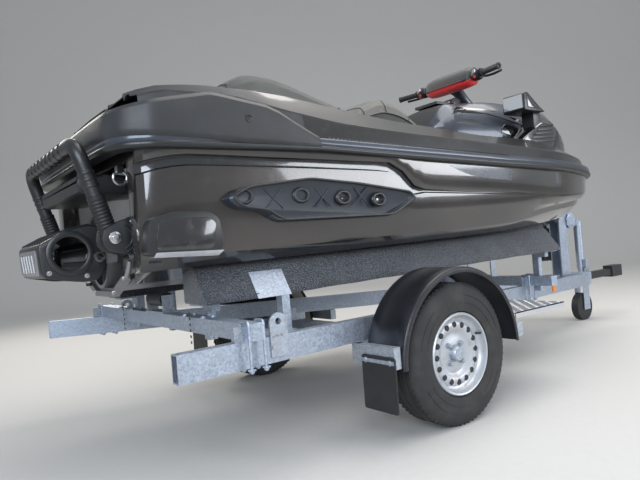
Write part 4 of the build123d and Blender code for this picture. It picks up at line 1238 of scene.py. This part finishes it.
def buildBucket():
    hingeX, hingeZ = bucketHinge
    outline = rounded([(hingeX + x, hingeZ + z) for x, z in bucketOutline], 0.022, 4)
    rings = []
    for y, scale in ((-0.19, 0.955), (-0.1885, 0.985), (-0.182, 1.0), (0.182, 1.0), (0.1885, 0.985),
            (0.19, 0.955)):
        rings.append([craft(x, y, z) for x, z in scaledOutline(outline, scale)])
    shell = addMesh("ReverseBucket", *loftGrid(rings), [satinBlack])
    tidyMesh(shell)
    inner = [(0.06, 0.088), (-0.02, 0.113), (-0.066, 0.103), (-0.126, 0.084), (-0.199, 0.049),
        (-0.192, -0.052), (-0.142, -0.11), (0.06, -0.11)]
    cavity = prism([(sternX + hingeX + x, hingeZ + z) for x, z in inner], -0.182, 0.182)
    drum = (sternX - 0.1, 0, 0.82)
    bore = turned([(-0.25, 0.0), (-0.25, 0.06), (0.25, 0.06), (0.25, 0.0)], drum, (0, 1, 0), 40)
    carve(shell, [cavity, bore])
    shell.data.materials.clear()
    shell.data.materials.append(satinBlack)
    tidyMesh(shell, 0.002, 2, 35)
    settle(shell, "reverse_bucket", ("reverse_bucket",))
    parts = []
    for side in (-1, 1):
        rim = [(0.0, 0.06), (0.004, 0.061), (0.006, 0.066), (0.006, 0.076), (0.003, 0.082), (0.0, 0.083)]
        parts.append(turned(rim, (drum[0], side * 0.19, drum[2]), (0, side, 0), 40))
        for dx, dz in ((-0.078, 0.088), (-0.176, -0.045), (-0.05, -0.066), (0.01, 0.07)):
            parts.append(boltPart(craft(hingeX + dx, side * 0.19, hingeZ + dz), (0, side, 0), 0.006, 0.005,
                mark=1))
        hub = [(0.0, 0.0), (0.0, 0.022), (0.006, 0.02), (0.006, 0.0)]
        parts.append(turned(hub, craft(hingeX, side * 0.19, hingeZ), (0, side, 0), 20, mark=1))
    for k in range(9):
        y = -0.16 + k * 0.04
        lip = craftLine([(hingeX - 0.02, y, hingeZ + 0.1225), (hingeX - 0.07, y, hingeZ + 0.113),
            (hingeX - 0.128, y, hingeZ + 0.0945), (hingeX - 0.196, y, hingeZ + 0.062)])
        parts.append(tubePart(lip, 0.0045, 6))
    back = [(-0.2085, 0.04), (-0.2115, 0.032), (-0.205, -0.048), (-0.201, -0.052), (-0.199, -0.046),
        (-0.205, 0.034)]
    parts.append(plate([(hingeX + x, hingeZ + z) for x, z in back], -0.15, 0.15, mark=2))
    for y in (-0.1, -0.05, 0.0, 0.05, 0.1):
        slot = [craft(hingeX - 0.2125, y, hingeZ + 0.024), craft(hingeX - 0.2065, y, hingeZ - 0.04)]
        parts.append(tubePart(slot, 0.004, 6, mark=2))
    makeParts("BucketTrim", parts, [satinBlack, brightSteel, castAlloy], "reverse_bucket", angle=35)


def buildJet():
    centre = Vector(craft(0, 0, jetZ))
    bell = [(0.428, 0.1), (0.425, 0.118), (0.408, 0.121), (0.4, 0.114), (0.3, 0.1135), (0.29, 0.119),
        (0.275, 0.119), (0.268, 0.113), (0.16, 0.112), (0.12, 0.104), (0.09, 0.095), (0.082, 0.09),
        (0.082, 0.08), (0.16, 0.098)]
    parts = [turned(bell, centre, (1, 0, 0), 40)]
    for c, s in around(6, 0.5):
        parts.append(boltPart((centre.x + 0.406, 0.113 * c, centre.z + 0.113 * s), (-1, 0, 0), 0.006, 0.008,
            mark=1))
    for side in (-1, 1):
        ear = [(-0.034, 0.8), (-0.012, 0.832), (0.03, 0.836), (0.11, 0.82), (0.15, 0.79), (0.11, 0.77),
            (-0.012, 0.772)]
        low, high = sorted((side * 0.106, side * 0.118))
        parts.append(plate(ear, low, high, 0.012))
        pin = [(0.0, 0.0), (0.0, 0.01), (0.078, 0.01), (0.08, 0.013), (0.084, 0.013), (0.084, 0.0)]
        parts.append(turned(pin, craft(0, side * 0.112, 0.8), (0, side, 0), 18, mark=1))
    hose = craftLine([(0.36, -0.1, 0.845), (0.3, -0.17, 0.868), (0.18, -0.19, 0.846), (0.11, -0.235, 0.872),
        (0.088, -0.262, 0.892)])
    parts.append(tubePart(bendPath(hose, 0.04), 0.008, 12, mark=2))
    makeParts("PumpHousing", parts, [castAlloy, brightSteel, softRubber], bevel=0.0, angle=35)
    cone = [(0.024, 0.07), (0.025, 0.078), (0.01, 0.079), (-0.012, 0.076), (-0.04, 0.07), (-0.1, 0.061),
        (-0.105, 0.06), (-0.105, 0.052), (-0.02, 0.062), (0.02, 0.066)]
    nozzle = [turned(cone, centre, (1, 0, 0), 40)]
    for c, s in around(8):
        spine = [craft(x, r * c, jetZ + r * s) for x, r in ((-0.01, 0.0765), (-0.098, 0.0625))]
        nozzle.append(tubePart(spine, 0.003, 6))
    for side in (-1, 1):
        lug = [(0.0, 0.0), (0.0, 0.014), (0.007, 0.014), (0.007, 0.0)]
        nozzle.append(turned(lug, craft(0.005, 0, jetZ + side * 0.0775), (0, 0, side), 20, mark=1))
    makeParts("NozzleTrim", nozzle, [satinBlack, brightSteel], "steering_nozzle", angle=35)


def buildSternPlates():
    parts = []
    for side in (-1, 1):
        bar = craftLine([(0.07, side * 0.1, 0.655), (0.07, side * 0.118, 0.655),
            (0.07, side * 0.262, 0.716), (0.07, side * 0.276, 0.716)])
        parts.append(tubePart(bar, 0.0125, 4))
        parts.append(boltPart(craft(0.058, side * 0.262, 0.716), (-1, 0, 0), 0.008, 0.006, mark=1))
        parts.append(boltPart(craft(0.058, side * 0.125, 0.66), (-1, 0, 0), 0.008, 0.006, mark=1))
        tab = craftLine([(0.066, side * 0.27, 0.714), (0.066, side * 0.3, 0.745), (0.07, side * 0.31, 0.775)])
        parts.append(tubePart(tab, 0.009, 6))
    makeParts("CastFrame", parts, [castAlloy, brightSteel], bevel=0.002, angle=35)
    wedge = [(0.034, 0.786), (0.12, 0.782), (0.27, 0.772), (0.304, 0.806), (0.292, 0.896), (0.256, 0.919),
        (0.12, 0.924), (0.045, 0.9)]
    blocks = [plate(wedge, -0.604, -0.508, 0.02)]
    blocks.append(plate([(0.06, 0.8), (0.262, 0.792), (0.28, 0.88), (0.25, 0.902), (0.076, 0.9)], -0.6055,
        -0.6, 0.02, mark=1))
    blocks.append(plate([(0.05, 0.778), (0.276, 0.768), (0.3, 0.786), (0.06, 0.794)], -0.608, -0.56, 0.004,
        mark=2))
    makeParts("SternBlocks", bothSides(*blocks), [satinBlack, hullBlack, castAlloy],
        nodes=("stern_blocks",), slot="black_moulding", bevel=0.003, angle=35)
    rings = []
    for side in (-1, 1):
        seat = [(0.0, 0.0), (0.0, 0.024), (0.004, 0.026), (0.008, 0.02), (0.008, 0.0)]
        rings.append(turned(seat, craft(0.085, side * 0.35, 1.07), (-1, 0, 0), 24))
    makeParts("TowRingPlates", rings, [brightSteel], angle=35)


buildStep()
buildBrackets()
buildStepPad()
buildBucket()
buildJet()
buildSternPlates()
print("stern gear built")


# Trailer wheels: tyre with tread, rim with its ring of holes
tyreProfile = [(-0.062, 0.166), (-0.076, 0.172), (-0.0815, 0.196), (-0.0825, 0.222), (-0.0800, 0.248),
    (-0.0740, 0.268), (-0.0660, 0.2795), (-0.0600, 0.2835), (-0.0405, 0.2860), (-0.0370, 0.2785),
    (-0.0330, 0.2785), (-0.0295, 0.2868), (-0.0040, 0.2875), (-0.0020, 0.2790), (0.0020, 0.2790),
    (0.0040, 0.2875), (0.0295, 0.2868), (0.0330, 0.2785), (0.0370, 0.2785), (0.0405, 0.2860),
    (0.0600, 0.2835), (0.0660, 0.2795), (0.0740, 0.268), (0.0800, 0.248), (0.0825, 0.222), (0.0815, 0.196),
    (0.076, 0.172), (0.062, 0.166)]
rimProfile = [(-0.062, 0.1655), (-0.074, 0.1655), (-0.078, 0.1610), (-0.076, 0.1560), (-0.066, 0.1530),
    (-0.052, 0.1500), (-0.044, 0.1420), (-0.041, 0.1330), (-0.048, 0.1250), (-0.052, 0.1100),
    (-0.046, 0.0960), (-0.036, 0.0860), (-0.034, 0.0740), (-0.040, 0.0600), (-0.040, 0.0)]
wheelRadius = 0.2875
wheel = {"across": 0.765, "blocks": 72, "blockLow": 0.2790, "blockHigh": 0.2872, "holes": 16, "bolts": 4}


def wheelParts(centre, outward):
    axis = Vector((0, outward, 0))
    onFace = 0.0822 * outward
    tyre = turned(tyreProfile, centre, (0, 1, 0), 96)
    blocks = []
    faces = [(0, 1, 3, 2), (4, 6, 7, 5), (0, 4, 5, 1), (2, 3, 7, 6), (1, 5, 7, 3), (0, 2, 6, 4)]
    for k in range(wheel["blocks"]):
        a = math.tau * k / wheel["blocks"]
        wide = Vector((-math.sin(a), 0, math.cos(a))) * 0.0042
        for lane, lean in ((-0.0615, 0.03), (0.0615, -0.03)):
            quad = []
            for y, angle in ((lane, a), (lane + lean * 0.55, a + 0.022)):
                for radius in (wheel["blockLow"], wheel["blockHigh"]):
                    quad.append(centre + Vector((radius * math.cos(angle), y, radius * math.sin(angle))))
            blocks.append(([tuple(q + wide * sign) for sign in (-1, 1) for q in quad], faces))
    ridges = []
    for start, sweep in ((0.3, 1.1), (2.2, 0.7), (3.6, 1.2), (5.3, 0.5)):
        for radius in (0.205, 0.236):
            arc = [centre + Vector((radius * math.cos(a), onFace, radius * math.sin(a)))
                for a in (start + sweep * k / 12 for k in range(13))]
            ridges.append(tubePart(arc, 0.0012, 6))
    rim = [turned([(-along, radius) for along, radius in rimProfile], centre, axis, 72)]
    # Painted shade: each hole is a black disc on the rim, standing for the dark, shaded inside of the wheel
    # seen through it
    for c, s in around(wheel["holes"]):
        hole = centre + Vector((0.1165 * c, outward * 0.05, 0.1165 * s))
        ring = [(0.0022, 0.0), (0.0022, 0.0085), (0.0036, 0.01), (0.0, 0.0125)]
        rim.append(turned(ring, hole, axis, 16, mark=1))
    for c, s in around(wheel["bolts"], 0.5):
        bolt = centre + Vector((0.05 * c, outward * 0.04, 0.05 * s))
        rim.append(turned([(0.0, 0.0125), (0.004, 0.0125), (0.012, 0.0095), (0.016, 0.008), (0.017, 0.0)],
            bolt, axis, 6, mark=2))
    cap = [(0.036, 0.034), (0.046, 0.0335), (0.06, 0.031), (0.066, 0.026), (0.0665, 0.0)]
    rim.append(turned(cap, centre, axis, 32, mark=2))
    rim.append(turned([(0.0, 0.0), (0.0, 0.004), (0.026, 0.0035), (0.028, 0.0)],
        centre + Vector((0.128, outward * 0.048, 0.06)), Vector((0.25, outward, 0.1)), 10, mark=3))
    return [tyre, *blocks, *ridges], rim


spareTurn = 27


def buildWheels():
    mats = [rimSilver, coatedBlack, zincRusty, softRubber]
    for outward, name in sideName.items():
        rubber, rim = wheelParts(Vector((axleX, outward * wheel["across"], wheelRadius)), outward)
        side = name.lower()
        body = "wheel_" + side
        makeParts("RoadTyre" + name, rubber, [tyreRubber], body, ("tyre_" + side,), "tyre_rubber", angle=40)
        makeParts("RoadRim" + name, rim, mats, body, ("rim_" + side,), "rim_silver", angle=35)
    low, high = (Vector(corner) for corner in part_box("spare_tyre"))
    centre = (low + high) / 2
    there = Matrix.Translation(centre)
    turn = there @ Matrix.Rotation(math.radians(spareTurn), 4, "Z") @ there.inverted()
    rubber, rim = ([moved(part, turn) for part in parts] for parts in wheelParts(centre, 1))
    makeParts("SpareTyre", rubber, [tyreRubber], nodes=("spare_tyre",), slot="tyre_rubber", angle=40)
    makeParts("SpareRim", rim, mats, nodes=("spare_rim",), slot="rim_silver", angle=35)


guardInner = 0.668
guardOuterRadius = 0.3505
flapTop = 0.345


def buildMudguards():
    for side in (-1, 1):
        section = [(0.0, 0.334), (0.0, 0.35), (0.012, 0.3515), (0.055, 0.3515), (0.06, 0.349),
            (0.148, 0.349), (0.153, 0.3515), (0.188, 0.3515), (0.198, 0.349), (0.203, 0.342),
            (0.203, 0.328), (0.199, 0.327), (0.196, 0.34), (0.186, 0.3445), (0.012, 0.3445), (0.006, 0.334)]
        rings = []
        for k in range(41):
            a = math.pi * k / 40
            rings.append([(axleX + r * math.cos(a), side * (guardInner + y), wheelRadius + r * math.sin(a))
                for y, r in section])
        parts = [loftGrid(rings)]
        for a in (0.08, math.pi - 0.08):
            for y in (0.05, 0.15):
                spot = (axleX + guardOuterRadius * math.cos(a), side * (guardInner + y),
                    wheelRadius + guardOuterRadius * math.sin(a))
                parts.append(boltPart(spot, (math.cos(a), 0, math.sin(a)), 0.006, 0.004, mark=1))
        name = sideName[side]
        makeParts("Mudguard" + name, parts, [guardBlack, zincFrame], nodes=("mudguard_" + name.lower(),),
            slot="black_moulding", bevel=0.0015, angle=30)
    flaps = []
    for side in (-1, 1):
        x0, x1 = axleX - 0.391, axleX - 0.385
        outline = rounded([(side * 0.686, 0.14), (side * 0.868, 0.14), (side * 0.868, flapTop),
            (side * 0.686, flapTop)], 0.012)
        flaps.append(loftGrid([[(x - 0.004 * ((flapTop - z) / 0.205) ** 2, y, z) for y, z in outline]
            for x in (x0, x1)]))
        for y in (0.71, 0.842):
            flaps.append(boltPart((x0, side * y, 0.325), (-1, 0, 0), 0.007, 0.005, mark=1))
        low, high = sorted((side * 0.69, side * 0.864))
        flaps.append((*boxPart((x0 - 0.0015, low, 0.318), (x0, high, 0.332)), 1))
    makeParts("MudFlaps", flaps, [softRubber, zincFrame], nodes=("mud_flaps",), slot="black_rubber", angle=35)


plateTop = 0.3965
plateGrid = {"along": 13, "across": 9, "stepX": 0.0295, "stepY": 0.0310, "half": 0.010}


def buildStepPlates():
    parts = []
    for side in (-1, 1):
        low, high = sorted((side * 0.54, side * 0.83))
        start, end = axleX + 0.392, axleX + 0.781
        parts.append(boxPart((start, low, 0.3925), (end, high, plateTop)))
        for edge in (low + 0.002, high - 0.002):
            parts.append(boxPart((start, edge - 0.002, 0.372), (end, edge + 0.002, plateTop)))
        for i in range(plateGrid["along"]):
            for k in range(plateGrid["across"]):
                x, y = start + 0.018 + i * plateGrid["stepX"], low + 0.02 + k * plateGrid["stepY"]
                lean = 0.7 if (i + k) % 2 else -0.7
                run = Vector((math.cos(lean), math.sin(lean), 0)) * plateGrid["half"]
                middle = Vector((x, y, 0.3962))
                parts.append(tubePart([middle - run, middle, middle + run], [0.0006, 0.0024, 0.0006], 5))
    makeParts("StepPlates", parts, [chequerAlloy], nodes=("step_plates",), slot="chequer_aluminium", angle=35)


buildWheels()
buildMudguards()
buildStepPlates()


# U-bolts, bolts and the winch drum with its wound strap
railEnd = axleX - 1.185
railLength = 3.535
rearBeamX = axleX - 0.905


def uBolt(centre, drop):
    x, y, z = centre
    half = 0.026
    run = [(x, y - half, z - drop), (x, y - half, z), (x, y + half, z), (x, y + half, z - drop)]
    parts = [tubePart(bendPath(run, 0.012), 0.005, 10)]
    for tip in (run[0], run[3]):
        parts.append(boltPart((tip[0], tip[1], tip[2] + 0.012), (0, 0, -1), 0.009, 0.01))
    return parts


def railAcross(x):
    return 0.835 + (0.1 - 0.835) * (x - railEnd) / railLength


def railTop(x):
    return 0.5 + (0.382 - 0.5) * (x - railEnd) / railLength


def buildFittings():
    parts = []
    for side in (-1, 1):
        for x in (rearBeamX - 0.03, rearBeamX + 0.03):
            parts += uBolt((x, side * railAcross(x), railTop(x) + 0.062), 0.16)
        x = axleX + 1.235
        for shift in (-0.034, 0.034):
            parts += uBolt((x + shift, side * railAcross(x + shift), railTop(x) + 0.062), 0.158)
        for y in (0.3, 0.46):
            for shift in (-0.02, 0.02):
                parts.append(boltPart((rearBeamX + shift, side * y, 0.548), (0, 0, 1), 0.008, 0.007))
        for k in range(6):
            z = 0.455 + k * 0.022
            parts.append(turned([(0.0, 0.0), (0.0014, 0.0), (0.0014, 0.0055), (0.0, 0.006)],
                (axleX - 0.9405, side * 0.38, z), (-1, 0, 0), 12, mark=1))
    makeParts("TrailerBolts", parts, [zincFrame, coatedBlack], angle=35)
    low, high = (Vector(corner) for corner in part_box("winch_drum"))
    middle = (low + high) / 2
    radius = (high.z - low.z) / 2
    spool = [(-0.0385, 0.018), (-0.0385, radius), (-0.0355, radius), (-0.035, radius * 0.86),
        (0.035, radius * 0.86), (0.0355, radius), (0.0385, radius), (0.0385, 0.018)]
    parts = [turned(spool[:4], middle, (0, 1, 0), 36, mark=1),
        turned(spool[4:], middle, (0, 1, 0), 36, mark=1)]
    parts.append(turned([(-0.034, 0.012), (-0.034, radius * 0.84), (-0.028, radius * 0.88),
        (0.028, radius * 0.88), (0.034, radius * 0.84), (0.034, 0.012)], middle, (0, 1, 0), 36))
    parts.append(turned([(-0.049, 0.0), (-0.049, 0.01), (0.049, 0.01), (0.049, 0.0)], middle, (0, 1, 0), 16,
        mark=1))
    makeParts("WinchDrum", parts, [strapBlue, zincFrame], nodes=("winch_drum",), slot="blue_paint",
        bevel=0.001)


buildFittings()
print("trailer built")


# Finishes for the nodes that keep their own shape
nodeFinish = (
    (zincFrame, ("side_rails", "drawbar_sides", "drawbar_nose", "cross_beams", "bunk_posts", "bunk_saddles",
                 "winch_post", "jack_tube", "jack_leg", "jack_fork")),
    (zincRusty, ("beam_fittings", "axle", "mudguard_brackets", "keel_supports")),
    (castAlloy, ("engine", "pump_housing", "impeller", "ride_plate")),
    (coatedBlack, ("coupling",)), (brightSteel, ("tow_eyes",)), (mirrorSilver, ("mirror_glasses",)),
    (softRubber, ("rollers", "jack_wheel")), (amberLens, ("reflectors",)),
    (satinBlack, ("glove_lid", "steering_nozzle")),
)
for mat, nodes in nodeFinish:
    for node in nodes:
        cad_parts[node].data.materials.clear()
        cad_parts[node].data.materials.append(mat)


# Stage, light and camera
viewing = {"away": (-1.810, -2.403, 0.783), "heading": 53.52, "pitch": 0.21, "roll": -4.95, "reach": 581.2}


def buildStage():
    mat, flow, place = startMaterial("PaleFloor")
    speckle = noise(flow, place, 30, 3)
    colour = speckle.mix((0.52, 0.51, 0.49), (0.56, 0.55, 0.53))
    finishMaterial(mat, flow, {"Specular IOR Level": 0.2},
        {"Base Color": colour, "Roughness": 0.75 + speckle * 0.1})
    reach, wallAt, curve = 16.0, 9.0, 3.0
    profile = [(-reach, 0.0), (wallAt - curve, 0.0)]
    profile += [(wallAt - curve + curve * math.sin(a), curve - curve * math.cos(a))
        for a in (math.pi / 2 * k / 10 for k in range(1, 11))]
    profile.append((wallAt, 14.0))
    turn = Matrix.Rotation(math.radians(viewing["heading"]), 4, "Z")
    rings = [[tuple(turn @ Vector((along, across, up))) for along, up in profile] for across in (-26.0, 26.0)]
    verts, faces = loftGrid(rings, closed=False, caps=False)
    floor = addMesh("StudioFloor", verts, faces, [mat])
    floor.data.shade_smooth()


def addLamp(name, place, aim, size, power, colour):
    lamp = bpy.data.lights.new(name, "AREA")
    lamp.shape = "RECTANGLE"
    lamp.size, lamp.size_y = size
    lamp.energy = power
    lamp.color = colour
    thing = bpy.data.objects.new(name, lamp)
    bpy.context.scene.collection.objects.link(thing)
    thing.location = place
    thing.rotation_euler = (Vector(aim) - Vector(place)).to_track_quat("-Z", "Y").to_euler()


def buildLights():
    addLamp("TopBox", (0.6, -0.8, 4.6), (0, 0, 0.8), (5.0, 3.4), 210, (1.0, 0.97, 0.93))
    addLamp("WindowBox", (-4.6, -4.2, 2.6), (0, 0, 0.7), (3.6, 2.4), 260, (0.8, 0.89, 1.0))
    addLamp("SideBox", (3.6, -5.0, 2.2), (0.4, 0, 0.7), (3.4, 1.8), 150, (0.9, 0.94, 1.0))
    addLamp("BackBox", (-1.0, 5.0, 3.4), (0, 0, 0.8), (4.0, 1.6), 130, (1.0, 0.96, 0.9))
    world = bpy.data.worlds.new("StudioWorld")
    world.use_nodes = True
    world.node_tree.nodes["Background"].inputs[0].default_value = (0.8, 0.84, 0.9, 1)
    world.node_tree.nodes["Background"].inputs[1].default_value = 0.62
    bpy.context.scene.world = world


def buildCamera():
    yaw, pitch, roll = (math.radians(viewing[key]) for key in ("heading", "pitch", "roll"))
    forward = Vector((math.cos(yaw) * math.cos(pitch), math.sin(yaw) * math.cos(pitch), math.sin(pitch)))
    right = Vector((math.sin(yaw), -math.cos(yaw), 0))
    up = right.cross(forward)
    across = math.cos(roll) * right + math.sin(roll) * up
    upward = math.cos(roll) * up - math.sin(roll) * right
    turn = Matrix((across, upward, -forward)).transposed().to_4x4()
    lens = bpy.data.cameras.new("PhotoCamera")
    lens.sensor_width = 36
    lens.lens = viewing["reach"] * lens.sensor_width / 640
    lens.clip_end = 100
    thing = bpy.data.objects.new("PhotoCamera", lens)
    bpy.context.scene.collection.objects.link(thing)
    awayX, awayY, height = viewing["away"]
    thing.matrix_world = Matrix.Translation((axleX + awayX, awayY, height)) @ turn
    bpy.context.scene.camera = thing


buildStage()
buildLights()
buildCamera()
bpy.context.scene.view_settings.view_transform = "Standard"
print("stage, lights and camera ready")
